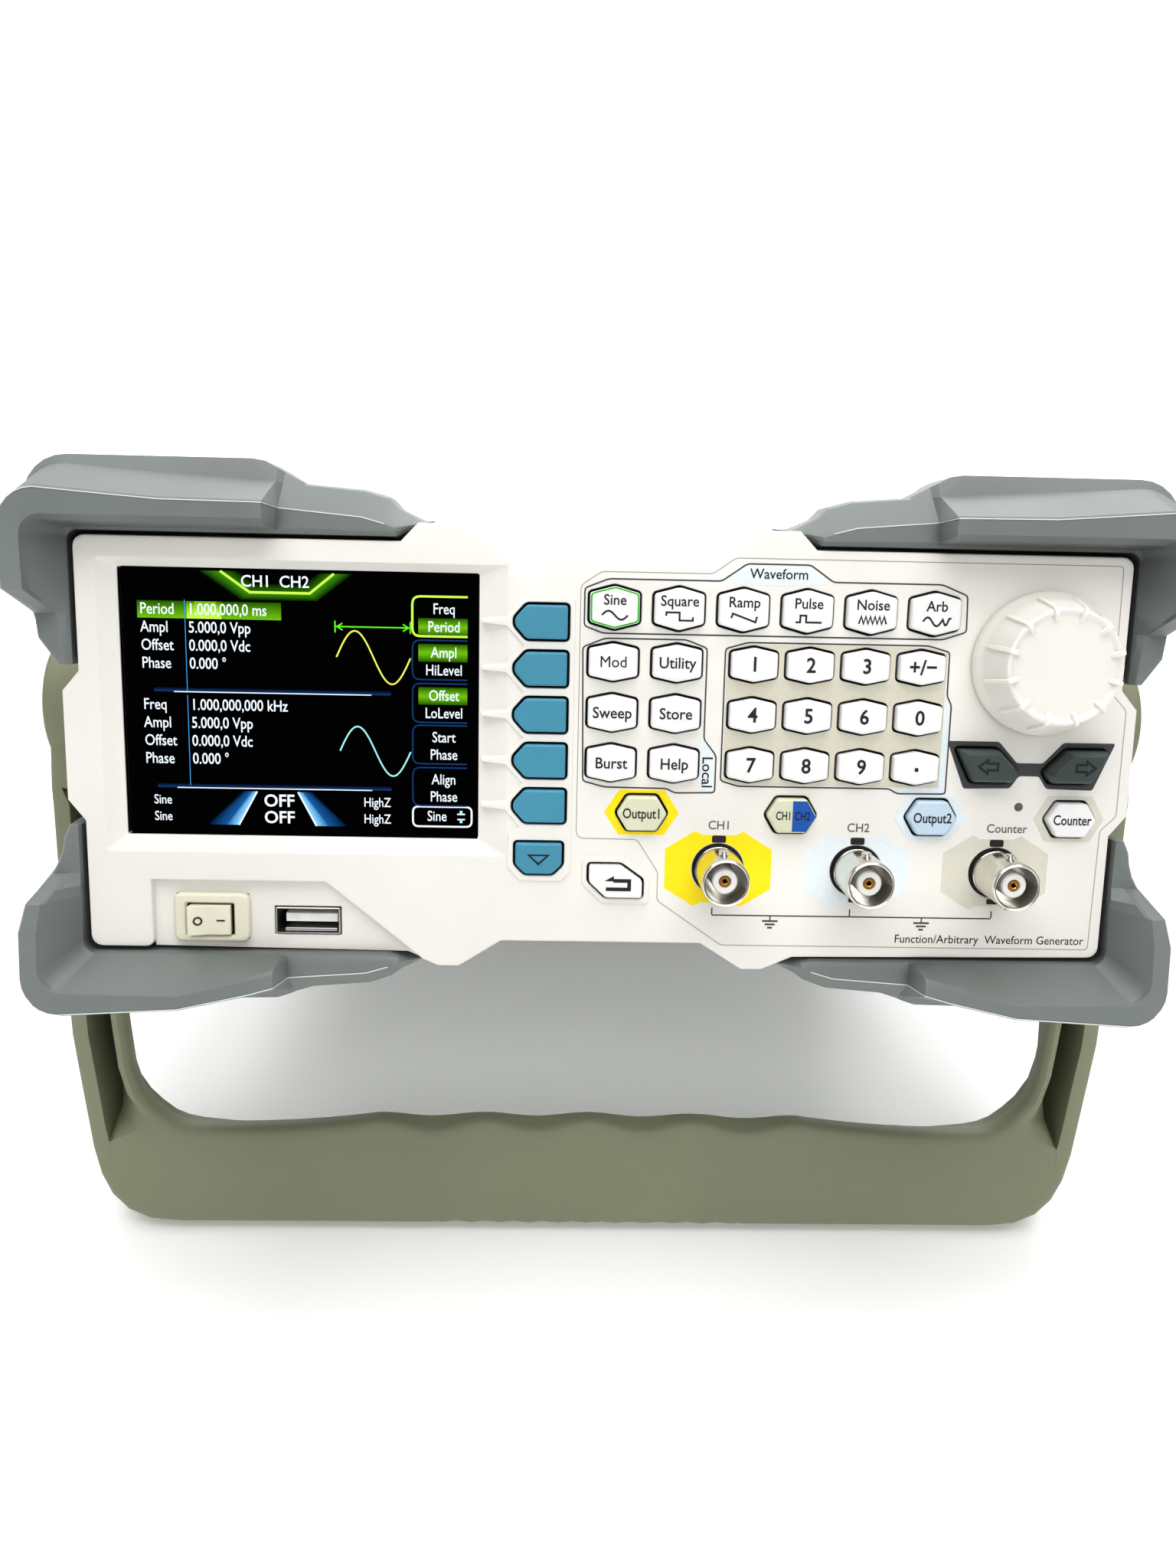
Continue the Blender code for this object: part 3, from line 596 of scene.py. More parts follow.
PANEL_X, PANEL_TOP, PANEL_BOTTOM, PANEL_T, RIM_Y = 105.8, 41.9, -42.0, 4.0, 12.0
CORNER_R = 2.4
RECESS_Y = 2.0
GAP = 0.5
SWITCH = (-88.65, -73.15, -40.85, -30.5)
USB = (-68.0, -54.6, -39.25, -33.6)
KNOB_X, KNOB_Z = 88.4, 20.3
BNC_Z, BNC_R = -23.6, 4.85
BNC_X = {"ch1": 24.0, "ch2": 52.9, "counter": 82.1}
SOCKET_GAP = 0.6
(SCREEN_X0, SCREEN_X1), _, (SCREEN_Z0, SCREEN_Z1) = case_box("screen_lens")


def key_section(node):
    """The outline of a CAD key's cap, and how far the cap stands out of the panel."""
    points = case_points(node)
    front = min(point.y for point in points)
    ring = {(round(p.x, 2), round(p.z, 2)) for p in points if abs(p.y - front - 0.5) < 0.05}
    x = sum(p[0] for p in ring) / len(ring)
    z = sum(p[1] for p in ring) / len(ring)
    return sorted(ring, key=lambda p: math.atan2(p[1] - z, p[0] - x)), -front


KEYS = {n: key_section(n) for n in NODES if n.startswith(("key_", "soft_key", "arrow_key"))}
BACK_KEY = [(8.2, -29.7), (0.7, -29.7), (-2.8, -26.4), (-2.8, -22.9), (3.7, -22.9), (8.2, -26.1)]
KEYS["key_back"] = (BACK_KEY[::-1], KEYS["key_back"][1])


def middle(node):
    (x0, x1), _, (z0, z1) = case_box(node)
    return (x0 + x1) / 2, (z0 + z1) / 2


def key_radius(node):
    return 0.6 if node.startswith(("soft", "arrow")) else 0.55


def bezel_rings():
    """The bezel's rings: the middle of its top leans back, and the switch has a notch."""
    lower_corner = arc(PANEL_X - CORNER_R, PANEL_BOTTOM + CORNER_R, CORNER_R, -90, 0, 5)
    upper_corner = arc(PANEL_X - CORNER_R, PANEL_TOP - CORNER_R, CORNER_R, 0, 90, 5)
    right_side = lower_corner + [(PANEL_X, -15.5), (109.2, -11.2), (109.2, 11.0), (PANEL_X, 15.0)]
    humps = upper_corner + [(41.5, PANEL_TOP), (38.0, 45.5), (30.5, 45.5)]
    feet = [(20.9, -39.8), (27.5, -44.0), (29.8, -45.4), (34.0, -45.4)]
    right = feet + [(40.5, -42.6)] + right_side + humps
    left = mirrored(right_side + humps)
    notch = arc(-94.45, PANEL_BOTTOM + 1.7, 1.7, -90, 0, 4)
    notch += [(-92.75, -27.75), (-57.25, -27.75), (-37.25, -44.0)]
    before, after = len(right), len(right) + 1
    side = right + [(27.5, 44.6), (-27.5, 44.6)] + left + notch + mirrored(feet)
    front = grow(side, -0.7)
    front[before], front[after] = (19.5, 39.2), (-19.5, 39.2)
    half = grow(side, -0.2)
    lean = {before: 3.4, after: 3.4}
    level = []
    for ring, y in ((half, 0.2), (side, 0.7)):
        level.append([(x, lean.get(i, y), z) for i, (x, z) in enumerate(ring)])
    for i in lean:
        level[0][i] = (level[0][i][0] * 0.97, 2.6, level[0][i][2] - 1.1)
    inside = grow(side, -1.2)
    return [at_y(front, 0.0), *level, at_y(side, RIM_Y), at_y(inside, RIM_Y), at_y(inside, PANEL_T)]


def screen_hole():
    """The screen's opening: a wide sloping frame with crisp edges, down to the window."""
    narrow = (SCREEN_X0 - 0.1, SCREEN_X1 + 0.1, SCREEN_Z0 - 0.1, SCREEN_Z1 + 0.1)
    wide = rectangle(SCREEN_X0 - 3.7, SCREEN_X1 + 5.8, SCREEN_Z0 - 3.25, SCREEN_Z1 + 1.7)
    steps = [(grow(wide, 0.15), 1.0, 0.0), (wide, 1.0, 0.1), (rectangle(*narrow), 0.6, RECESS_Y)]
    steps.append((rectangle(*narrow), 0.6, PANEL_T))
    return [at_y(rounded(shape, radius), y) for shape, radius, y in steps]


def front_bezel():
    holes = [straight(hole, 0.0, PANEL_T) for hole in key_holes(*KEYS, room=GAP)]
    holes.append(straight(circle(KNOB_X, KNOB_Z, 3.5), 0.0, PANEL_T))
    holes += [straight(circle(x, BNC_Z, BNC_R + SOCKET_GAP, 48), 0.0, PANEL_T) for x in BNC_X.values()]
    holes.append(screen_hole())
    plate("bezel", bezel_rings(), holes, "panel_white", replaces=["front_bezel"])
    floor = [(-36.2, -44.6), (-56.9, -27.4), (-93.1, -27.4), (-93.1, PANEL_BOTTOM - 0.2), (-40.5, -42.8)]
    holes = [straight(grow(rectangle(*USB), 0.25), RECESS_Y, PANEL_T)]
    holes.append(straight(grow(rectangle(*SWITCH), -0.3), RECESS_Y, PANEL_T, 0.05))
    plate("switch_recess_floor", edge_rings(floor, RECESS_Y, PANEL_T, 0.1), holes, "panel_white")


def gap_shade_sleeves():
    """Dark sleeves that line the openings round the keys and the sockets, as painted shade in the gaps."""
    bm = bmesh.new()
    for node, (outline, _) in KEYS.items():
        shape = rounded(outline, key_radius(node))
        inner, outer = grow(shape, GAP - 0.2), grow(shape, GAP - 0.02)
        levels = ((inner, 0.3), (inner, 3.9), (outer, 3.9), (outer, 0.3))
        # painted shade: a dark lining in each key's gap
        add_loft(bm, [at_y(ring, y) for ring, y in levels], True)
    for x in BNC_X.values():
        reach = BNC_R + SOCKET_GAP - 0.02
        rings = ((BNC_R + 0.05, 0.5), (BNC_R + 0.05, 3.9), (reach, 3.9), (reach, 0.5))
        add_loft(bm, turned_rings(x, BNC_Z, rings, 48), True)
    place("gap_shade_sleeves", bm, "dark_plastic")


OVERLAY = [(-5.6, 34), (-1.5, 36.8), (20.7, 36.8), (25.2, 40), (103.5, 40), (103.8, 14), (106.75, 11)]
OVERLAY += [(106.75, -11.25), (103.6, -14.25), (103.3, -40), (25.2, -40), (11.5, -30.5), (11.5, -24.5)]
OVERLAY += [(7, -17.6), (-4.8, -17.5), (-5.6, -16.5)]
WAVE_GROUP = [(-4.8, 33.5), (0, 35.4), (22.5, 35.4), (27.5, 38.9), (40.25, 38.9), (45, 35.6), (67, 35.6)]
WAVE_GROUP += [(72.25, 33.5), (72.5, 26.25), (67.75, 24.65), (-1, 24.6), (-4.8, 26)]
FUNCTION_GROUP = [(-5, 21.8), (-0.5, 23.6), (15.8, 23.6), (20.1, 22), (20.1, 3.5), (22.7, 0.2)]
FUNCTION_GROUP += [(22.7, -7.5), (14.5, -7.7), (12.7, -6.8), (0, -6.7), (-4.5, -5.5)]
NUMBER_GROUP = [(23.8, 22), (28.3, 23.3), (65, 23.35), (69.4, 22.15), (69.5, 13.25), (70.5, 11.4)]
NUMBER_GROUP += [(70.5, -7), (60.5, -7.1), (58.75, -6.1), (27.5, -6.1), (23.8, -5)]


def hexagon(x, z, half, shoulder, height):
    corners = [(half, 0), (shoulder, height), (-shoulder, height), (-half, 0), (-shoulder, -height)]
    return moved(corners + [(shoulder, -height)], x, z)


def key_holes(*names, room=0.45):
    """Holes round keys, for the printing or the raised plate that surrounds them."""
    return [grow(rounded(KEYS[name][0], key_radius(name)), room) for name in names]


def keys_within(prefixes):
    return [name for name in KEYS if name.startswith(prefixes)]


NUMBER_NAMES = [f"key_{digit}" for digit in "1234567890"] + ["key_sign", "key_point"]


def group_printing():
    Print("print_overlay_line", "ink_faint").line(rounded(OVERLAY, 0.8, 3), 0.16, closed=True).done()
    groups = Print("print_group_lines", "ink_line")
    for group in (WAVE_GROUP, FUNCTION_GROUP, NUMBER_GROUP):
        groups.line(rounded(group, 0.6, 2), 0.3, closed=True)
    groups.done()
    tint = Print("print_keypad_ground", "keypad_beige")
    ground = [(24.15, 21.8), (28.4, 23.0), (64.9, 23.0), (69.0, 21.9), (69.0, -5.75), (27.6, -5.75)]
    ground.append((24.15, -4.75))
    tint.shape(ground, key_holes(*NUMBER_NAMES, room=GAP + 0.02)).done()
    blue = Print("print_pale_blue", "pad_blue")
    blue.shape([(23.5, 35.6), (28.0, 38.55), (39.9, 38.55), (44.3, 35.6), (41.5, 34.8), (26.0, 34.8)])
    margin = [(69.05, 21.6), (69.25, 21.6), (69.3, 13.1), (70.2, 11.2), (70.2, -6.75), (60.8, -6.8)]
    blue.shape(margin + [(59.2, -5.85), (69.05, -5.85)])
    blue.shape([(19.5, 3.6), (20.2, 3.3), (22.4, 0.0), (22.4, -7.2), (19.5, -7.3)])
    blue.done()
    Print("print_waveform", "dark_ink_and_shade", y=-0.04).text("Waveform", 34, 36.9, 2.85, 0.95, bold=0.02).done()
    local = Print("print_local", "dark_ink_and_shade", y=-0.04)
    local.text("Local", 20.9, -3.3, 3.1, 1.0, turn=-90, bold=0.02).done()
    kind = Print("print_kind", "dark_ink_and_shade")
    kind.text("Function/Arbitrary  Waveform Generator", 82.1, -38.2, 2.55, 0.93).done()


def socket_pad(x):
    """The coloured octagon round a socket, with pointed notches at its top and bottom."""
    right = [(3.5, -7.2), (5, -8), (11.1, -4.15), (11.1, 4.15), (5, 8), (3.5, 7.2)]
    return moved(right + mirrored(right), x, BNC_Z)


def keyway_shade_patches():
    """Dark patches over and under the sockets' openings: painted shade where the keyway notches are."""
    # painted shade: flat dark patches in place of the notches' shade
    ways = Print("painted_keyway_shade", "dark_ink_and_shade", depth=0.1)
    for name, x in BNC_X.items():
        ways.shape(rounded(centred(x, BNC_Z + 6.35, 2.9, 1.5), 0.4))
        if name != "ch1":
            ways.shape(rounded(centred(x, BNC_Z - 6.2, 2.4, 1.1), 0.3))
    ways.done()


def socket_printing():
    colours = {"ch1": "pad_yellow", "ch2": "pad_blue", "counter": "pad_beige"}
    labels = {"ch1": ("CH1", -14.4), "ch2": ("CH2", -14.5), "counter": ("Counter", -14.2)}
    words = Print("print_socket_names", "ink_grey")
    for name, x in BNC_X.items():
        hole = circle(x, BNC_Z, BNC_R + SOCKET_GAP + 0.2)
        Print(f"print_pad_{name}", colours[name]).shape(socket_pad(x), [hole]).done()
        label, z = labels[name]
        words.text(label, x + (1.9 if name == "counter" else 0), z, 2.6, 0.95, bold=0.015)
    words.done()
    ground = Print("print_ground_lines", "ink_line").line([(x, -33.5) for x in (23.1, 82.1)], 0.26)
    for x in (23.1, 52.1, 82.1):
        ground.line([(x, -33.37), (x, -31.9)], 0.26)
    for x in (35.4, 67.4):
        ground.line([(x, -33.63), (x, -34.5)], 0.26)
        for i, half in enumerate((1.65, 1.05, 0.5)):
            ground.line([(x - half, -34.65 - 0.72 * i), (x + half, -34.65 - 0.72 * i)], 0.38)
    ground.done()


def surround(name, outline, keys, material="panel_white", proud=0.5, y_back=1.9):
    """A low raised frame round one or more keys."""
    holes = [straight(hole, -proud, y_back, 0.1) for hole in key_holes(*keys, room=GAP + 0.02)]
    plate(name, edge_rings(outline, -proud, y_back, min(0.3, proud), 2), holes, material)


def soft_key_surround():
    outline = [(-6.6, 31.4)]
    for i in range(5):
        z = middle(f"soft_key_{i + 1}")[1]
        outline += [(-16.9, z + 4.67), (-20.4, z + 0.9), (-25.3, z + 0.35)]
        outline += [(-25.3, z - 0.35), (-20.4, z - 0.9)]
    outline += [(-17.4, z - 4.4), (-19.6, -16.9), (-19.9, -23.6), (-17.2, -26.6), (-8.6, -26.6)]
    outline.append((-6.6, -24.4))
    surround("soft_key_frame", outline, keys_within("soft_key") + ["key_down"])


ARROWS_X = 87.7


def row_surrounds():
    """The hexagons round the keys over the sockets, and the frames of the back key and the arrow keys."""
    outputs = (("output_1", 7.7, 4.7, "pad_yellow"), ("output_2", 7.7, 4.7, "pad_blue"))
    for word, half, height, colour in (*outputs, ("counter", 7.4, 4.8, "pad_beige")):
        x, z = middle(f"key_{word}")
        surround(f"frame_{word}", hexagon(x, z, half, 4.7, height), [f"key_{word}"], colour, 0.1, 0.5)
    back = [(-4.3, -21.4), (-4.3, -27.1), (0.0, -31.2), (9.7, -31.2), (9.7, -25.4), (4.2, -21.4)]
    surround("frame_back_key", rounded(back, 0.9), ["key_back"])
    left = [(ARROWS_X, -3.0), (85.6, -3.0), (83.9, -5.6), (74.2, -5.8), (70.2, 4.1), (81.0, 4.1)]
    left.append((85.0, -0.3))
    arrows = left + [(2 * ARROWS_X - x, z) for x, z in reversed(left[1:])]
    surround("frame_arrow_keys", rounded(arrows, 0.5, 2), keys_within("arrow_key"), "pad_slate", 0.15, 0.5)


# ---------------------------------------------------------------- keys


def key_cap(node):
    """A key with a soft edge round a flat face; the arrow keys have a wide sloping edge."""
    outline, proud = KEYS[node]
    radius, arrow = key_radius(node), node.startswith("arrow")
    steps = [(0.55, 0.0), (0.34, 0.04), (0.15, 0.16), (0.04, 0.36), (0.0, 0.6)]
    if arrow:
        steps = [(1.0, 0.0), (0.85, 0.06), (0.75, 0.2), (0.25, 1.7), (0.08, 2.2), (0.0, 2.9)]
    rings = [at_y(rounded(grow(outline, -inset), radius), depth - proud) for inset, depth in steps]
    rings.append(at_y(rounded(outline, radius), PANEL_T + 1.0))
    colour = "key_white"
    if node.startswith("soft") or node == "key_down":
        colour = "key_blue"
    elif arrow:
        colour = "key_slate"
    elif node in ("key_output_1", "key_channel"):
        colour = "key_yellow"
    elif node == "key_output_2":
        colour = "key_pale_blue"
    loft(f"cap_{node}", rings, colour, JOINTS[f"{node}_press"]["child"], replaces=[node])


def legend(node, material="dark_ink_and_shade"):
    """Printing for a key's face, riding on the key, and the face's middle."""
    body = JOINTS[f"{node}_press"]["child"]
    return Print(f"legend_{node}", material, body, -KEYS[node][1], 0.05), *middle(node)


def sine_points(count, width):
    turns = [i / (count - 1) for i in range(count)]
    return [((t - 0.5) * width, 0.95 * math.sin(2 * math.pi * t)) for t in turns]


ICONS = {
    "sine": sine_points(17, 5.6),
    "square": [(-2.9, 0.1), (-2.9, 0.85), (0, 0.85), (0, -0.85), (2.9, -0.85), (2.9, -0.1)],
    "ramp": [(-2.8, -0.1), (-2.5, 0.9), (2.5, -0.9), (2.8, 0.3)],
    "pulse": [(-2.8, -0.7), (-1.8, -0.7), (-1.8, 0.75), (-0.5, 0.75), (-0.5, -0.7), (2.9, -0.7)],
    "noise": [(0.5 * i - 3.0, 0.85 if i % 2 else -0.75) for i in range(13)],
    "arb": sine_points(13, 4.0) + [(2.3, 0.5), (2.8, -0.7), (3.2, -0.6), (3.7, 0.7), (4.2, 0.8)],
}


def key_legends():
    for word, icon in ICONS.items():
        mark, x, z = legend(f"key_{word}")
        mark.text(word.capitalize(), x, z + 1.45, 2.95, 0.95, bold=0.025)
        mark.line(moved(icon, x - (0.9 if word == "arb" else 0), z - 1.5, 0.92), 0.36).done()
    for word in ("mod", "utility", "sweep", "store", "burst", "help"):
        mark, x, z = legend(f"key_{word}")
        mark.text(word.capitalize(), x, z, 3.2, 0.95, bold=0.0 if word == "mod" else 0.03).done()
    for word in [*"0123456789", "sign", "point"]:
        mark, x, z = legend(f"key_{word}")
        if word == "point":
            mark.shape(centred(x, z - 0.2, 0.75, 0.75)).done()
            continue
        shown = "+/\u2212" if word == "sign" else word
        mark.text(shown, x, z, 4.2, 0.95, bold=0.07).done()
    for word, shown in (("output_1", "Output1"), ("output_2", "Output2"), ("counter", "Counter")):
        mark, x, z = legend(f"key_{word}")
        mark.text(shown, x, z, 2.95, 0.78, bold=0.03).done()
    mark, x, z = legend("key_down")
    mark.line([(x - 2.0, z + 0.75), (x + 2.0, z + 0.75), (x, z - 1.1)], 0.42, closed=True).done()
    mark, x, z = legend("key_back")
    hook = [(x - 1.9, z - 1.5), (x + 2.9, z - 1.5), (x + 2.9, z + 0.3), (x - 0.4, z + 0.3)]
    mark.line(hook, 0.75)
    mark.shape([(x - 2.2, z + 0.2), (x - 0.3, z + 0.2), (x - 0.3, z + 1.3)]).done()
    for side, turn in (("left", -1), ("right", 1)):
        mark, x, z = legend(f"arrow_key_{side}")
        x += turn * 0.4
        arrow = [(2.3, 0), (0.5, 1.4), (0.5, 0.7), (-1.6, 0.7), (-1.6, -0.7), (0.5, -0.7), (0.5, -1.4)]
        mark.line([(x + turn * px, z + 0.2 + pz) for px, pz in arrow], 0.46, closed=True).done()


def channel_key_halves():
    """The channel key's right half is deep blue, over a cap that is pale yellow."""
    mark, x, z = legend("key_channel", "pad_deep_blue")
    mark.shape(moved([(0.1, -3.2), (3.0, -3.2), (4.9, 0), (3.0, 3.2), (0.1, 3.2)], x, z)).done()
    body = JOINTS["key_channel_press"]["child"]
    face = -KEYS["key_channel"][1]
    for i, shift, y in ((1, -1.7, face), (2, 2.15, face - 0.05)):
        words = Print(f"legend_channel_{i}", "dark_ink_and_shade", body, y)
        words.text(f"CH{i}", x + shift, z, 2.5, 0.68, bold=0.03).done()


def lit_key_rim():
    """The chosen waveform's key glows round its edge."""
    outline, proud = KEYS["key_sine"]
    body = JOINTS["key_sine_press"]["child"]
    shape = rounded(outline, 0.8)
    rim = Print("lit_rim_key_sine", "lit_green", body, 0.2 - proud, 0.18)
    rim.shape(grow(shape, -0.12), [grow(shape, -0.75)]).done()


# ---------------------------------------------------------------- knob, sockets, switch


def tuning_knob():
    """A knob with a coned side, a thin standing ring and ribs over the ring."""
    profile = [(1.0, -11.2), (9.6, -11.2), (10.2, -11.35), (10.6, -11.75), (11.0, -11.9), (11.4, -11.75)]
    profile += [(11.65, -11.3), (12.4, -8.0), (13.3, -4.2), (13.8, -3.2), (14.3, -2.7), (14.5, -2.2)]
    profile += [(14.5, -0.7), (14.2, -0.5), (3.0, -0.5), (3.0, 7.0)]
    bm = bmesh.new()
    add_loft(bm, turned_rings(KNOB_X, KNOB_Z, profile, 96))
    path = [(8.9, -11.0), (9.5, -11.9), (10.6, -12.5), (11.6, -12.3), (12.2, -11.2), (13.1, -7.6)]
    path.append((13.7, -4.6))
    for i in range(12):
        angle = math.radians(30 * i + 15)
        out, along = Vector((math.cos(angle), math.sin(angle))), Vector((-math.sin(angle), math.cos(angle)))
        sections = []
        for j, (radius, y) in enumerate(path):
            low = (-0.3, 0.9) if j < 4 else (-0.9, 0.05)
            half = 0.62 - 0.04 * abs(j - 3)
            ring = []
            for offset, drop in ((-half, 1), (-half * 0.6, 0), (half * 0.6, 0), (half, 1)):
                point = out * (radius + low[0] * drop) + along * offset
                ring.append((KNOB_X + point.x, y + low[1] * drop, KNOB_Z + point.y))
            sections.append(ring)
        add_loft(bm, sections)
    place("knob_cap", bm, "knob_cream", "knob", sharp=28, replaces=["tuning_knob"])


def bnc_socket(name, x, z, replaces=(), **options):
    """A coaxial socket: a plated shell with bayonet lugs, an insulator and a gold contact."""
    bm = bmesh.new()
    shell = [(4.15, -3.0), (4.15, -12.3), (4.3, -12.6), (4.5, -12.65), (4.7, -12.5), (4.75, -11.8)]
    shell += [(BNC_R, -11.6), (BNC_R, -1.5), (BNC_R - 0.15, -1.4), (BNC_R - 0.15, -1.1)]
    shell += [(BNC_R, -1.0), (BNC_R, 8.0), (2.7, 8.0), (2.7, -3.0)]
    add_loft(bm, turned_rings(x, z, shell, 64), looped=True)
    for turn in (1, -1):
        rings = []
        for reach, radius in ((4.5, 1.0), (5.5, 1.0), (5.7, 0.75)):
            rings.append([(a, b, z + turn * reach) for a, b in circle(x, -7.4, radius, 20)])
        add_loft(bm, rings)
    place(f"{name}_shell", bm, "nickel", replaces=replaces, **options)
    core = [(1.15, -1.0), (1.15, -10.6), (1.35, -10.9), (2.3, -10.9), (2.55, -10.6), (2.6, -6.0)]
    core += [(2.6, 7.0), (1.15, 7.0)]
    loft(f"{name}_insulator", turned_rings(x, z, core, 40), "white_insulator", looped=True, **options)
    pin = [(0.45, -4.0), (0.45, -10.7), (0.6, -10.85), (0.95, -10.85), (1.1, -10.6), (1.1, 6.0)]
    pin.append((0.45, 6.0))
    loft(f"{name}_contact", turned_rings(x, z, pin, 24), "gold", looped=True, **options)


def usb_socket():
    """A folded steel shell with a sprung lip along its foot, a tongue under its top and a dark back."""
    outer = rounded(rectangle(*USB), 0.4)
    inner = grow(outer, -0.3)
    levels = ((16, outer), (1.9, outer), (1.75, grow(outer, -0.15)), (1.75, inner), (14, inner))
    loft("usb_shell", [at_y(shape, y) for y, shape in levels], "steel", replaces=["usb_port"])
    x0, x1, z0, z1 = USB
    tongue = rectangle(x0 + 1.9, x1 - 0.7, z1 - 3.35, z1 - 1.5)
    loft("usb_tongue", edge_rings(tongue, 3.0, 14.0, 0.15), "white_insulator")
    lip = rectangle(x0 + 1.8, x1 - 0.7, z0 + 0.45, z0 + 1.15)
    loft("usb_spring", edge_rings(rounded(lip, 0.2), 2.3, 9.0, 0.15), "steel")
    loft("usb_back", edge_rings(grow(outer, -0.5), 13.0, 14.5, 0.1), "dark_plastic")


def power_switch():
    """A rounded flange round a pocket lined dark as painted shade, in which the rocker tips."""
    (r0, r1), _, (q0, q1) = case_box("power_rocker")
    half_x, half_z = (r1 - r0) / 2 - 0.45, (q1 - q0) / 2 - 0.35
    x, z = (r0 + r1) / 2, (q0 + q1) / 2
    pocket = centred(x, z, 2 * half_x + 0.9, 2 * half_z + 0.5)
    flange = rounded(rectangle(*SWITCH), 1.8, 6)
    depths = ((0.45, 0.3), (0.15, 0.6), (0.0, 1.2), (0.0, 12.0))
    holes = [[at_y(rounded(grow(pocket, step), 0.5), y) for step, y in depths]]
    body = rounded(grow(rectangle(*SWITCH), -0.6), 1.4, 6)
    rings = edge_rings(flange, 0.3, RECESS_Y - 0.1, 0.7, 4) + [at_y(body, RECESS_Y - 0.1), at_y(body, 12.0)]
    plate("switch_frame", rings, holes, "switch_ivory", replaces=["power_switch_housing"])
    # a dark lining on the pocket's walls, as painted shade
    levels = ((-0.16, 1.3), (-0.16, 11.9), (-0.02, 11.9), (-0.02, 1.3))
    pit = [at_y(rounded(grow(pocket, reach), 0.5), y) for reach, y in levels]
    loft("switch_pit_shade", pit, "dark_plastic", looped=True)
    rocker(x, z, half_x, half_z)


def rocker_profile(half, face, throw):
    """The rocker's section: its left half rises at the throw's angle, its right half lies flat."""
    tip = face - half * math.tan(throw)
    top = [(-half, tip + 0.5), (-half + 0.25, tip + 0.12), (-half * 0.5, (tip + face) / 2 + 0.05)]
    top += [(-0.4, face - 0.06), (0, face + 0.03), (0.4, face + 0.03), (half * 0.5, face + 0.04)]
    top += [(half - 0.3, face + 0.03), (half, face + 0.3)]
    return top + [(half - 0.2, 2.4), (2.6, 7.0), (-2.6, 7.0), (0.2 - half, 2.4)]


def rocker(x, z, half_x, half_z):
    throw = math.radians(16)
    face = -0.4
    shape = rocker_profile(half_x, face, throw)
    rings = []
    for level, inset in ((-1, 0.25), (-0.975, 0.08), (-0.92, 0.0), (0.92, 0.0), (0.975, 0.08), (1, 0.25)):
        height = z + level * half_z
        rings.append([(x + px * (1 - inset / 5), y + (inset if y < 2 else 0), height) for px, y in shape])
    loft("rocker_cap", rings, "switch_ivory", "rocker", replaces=["power_rocker"])
    slope = math.tan(throw)
    bm = bmesh.new()
    left, radius = half_x * 0.5, 0.75
    rings = []
    for reach, rise in ((-0.16, -0.1), (-0.16, 0.06), (0.16, 0.06), (0.16, -0.1)):
        ring = circle(x - left, z, radius + reach, 32)
        rings.append([(px, face - (x - px) * slope - rise, pz) for px, pz in ring])
    add_loft(bm, rings, looped=True)
    place("rocker_mark_off", bm, "dark_ink_and_shade", "rocker")
    on = Print("rocker_mark_on", "dark_ink_and_shade", "rocker", face + 0.06, 0.1)
    on.shape(centred(x + half_x * 0.55, z, 1.7, 0.32)).done()


def channel_lamp():
    profile = [(0.2, -0.55), (0.5, -0.45), (0.78, -0.2), (0.9, 0.0), (0.9, 0.6)]
    loft("counter_lamp", turned_rings(86.1, -9.5, profile, 28), "ink_grey")


# ---------------------------------------------------------------- display

WHITE, GREEN, LIME, CYAN = (0.75, 0.82, 0.9), (0.12, 0.75, 0.03), (0.55, 0.9, 0.1), (0.35, 0.75, 0.75)
YELLOW, BLUE, DIM_BLUE, BLACK = (0.75, 0.78, 0.12), (0.05, 0.3, 0.65), (0.01, 0.05, 0.16), (0.0, 0.0, 0.0)
LEAF, DIM_GREEN = (0.16, 0.45, 0.01), (0.02, 0.1, 0.0)
PALE_BLUE, DEEP_BLUE = (0.25, 0.6, 0.9), (0.01, 0.1, 0.3)


class Display(Print):
    """Everything lit on the display, with a colour for each corner."""

    def __init__(self):
        super().__init__("display_picture", "lcd_light", MAIN, LCD_Y, 0.03)
        self.lights = []

    def tint(self, *colours):
        """Gives the corners added since the last call their colours, in turn."""
        for i in range(len(self.bm.verts) - len(self.lights)):
            self.lights.append(colours[i % len(colours)])
        return self

    def words(self, text, x, z, size, colour=WHITE, align="LEFT", bold=0.0, squeeze=0.8):
        return self.text(text, x, z, size, squeeze, align, bold).tint(colour)

    def stroke(self, points, width, colour, closed=False):
        return self.line(points, width, closed).tint(colour)

    def fade(self, first, second, near, far):
        """A band between two lines of points that goes from one colour to another."""
        y = self.y + 0.01
        sections = [[(*a, y), (*a, y - 0.02), (*b, y - 0.02), (*b, y)] for a, b in zip(first, second)]
        add_loft(self.bm, [[(x, depth, z) for x, z, depth in section] for section in sections])
        return self.tint(near, near, far, far)

    def done(self):
        obj = super().done()
        light = obj.data.attributes.new("light", "FLOAT_COLOR", "POINT")
        light.data.foreach_set("color", [channel for colour in self.lights for channel in (*colour, 1.0)])
        return obj


LCD_Y = 3.9
ROWS_BOTH = (("Ampl", "5.000,0 Vpp"), ("Offset", "0.000,0 Vdc"), ("Phase", "0.000 \u00b0"))
ROWS_UP = (("Period", "1.000,000,0 ms"), *ROWS_BOTH)
ROWS_DOWN = (("Freq", "1.000,000,000 kHz"), *ROWS_BOTH)
MENUS = (("Freq", "Period", 31.1, 1), ("Ampl", "HiLevel", 22.3, 0), ("Offset", "LoLevel", 13.5, 0))
MENUS += (("Start", "Phase", 4.9, None), ("Align", "Phase", -3.9, None))


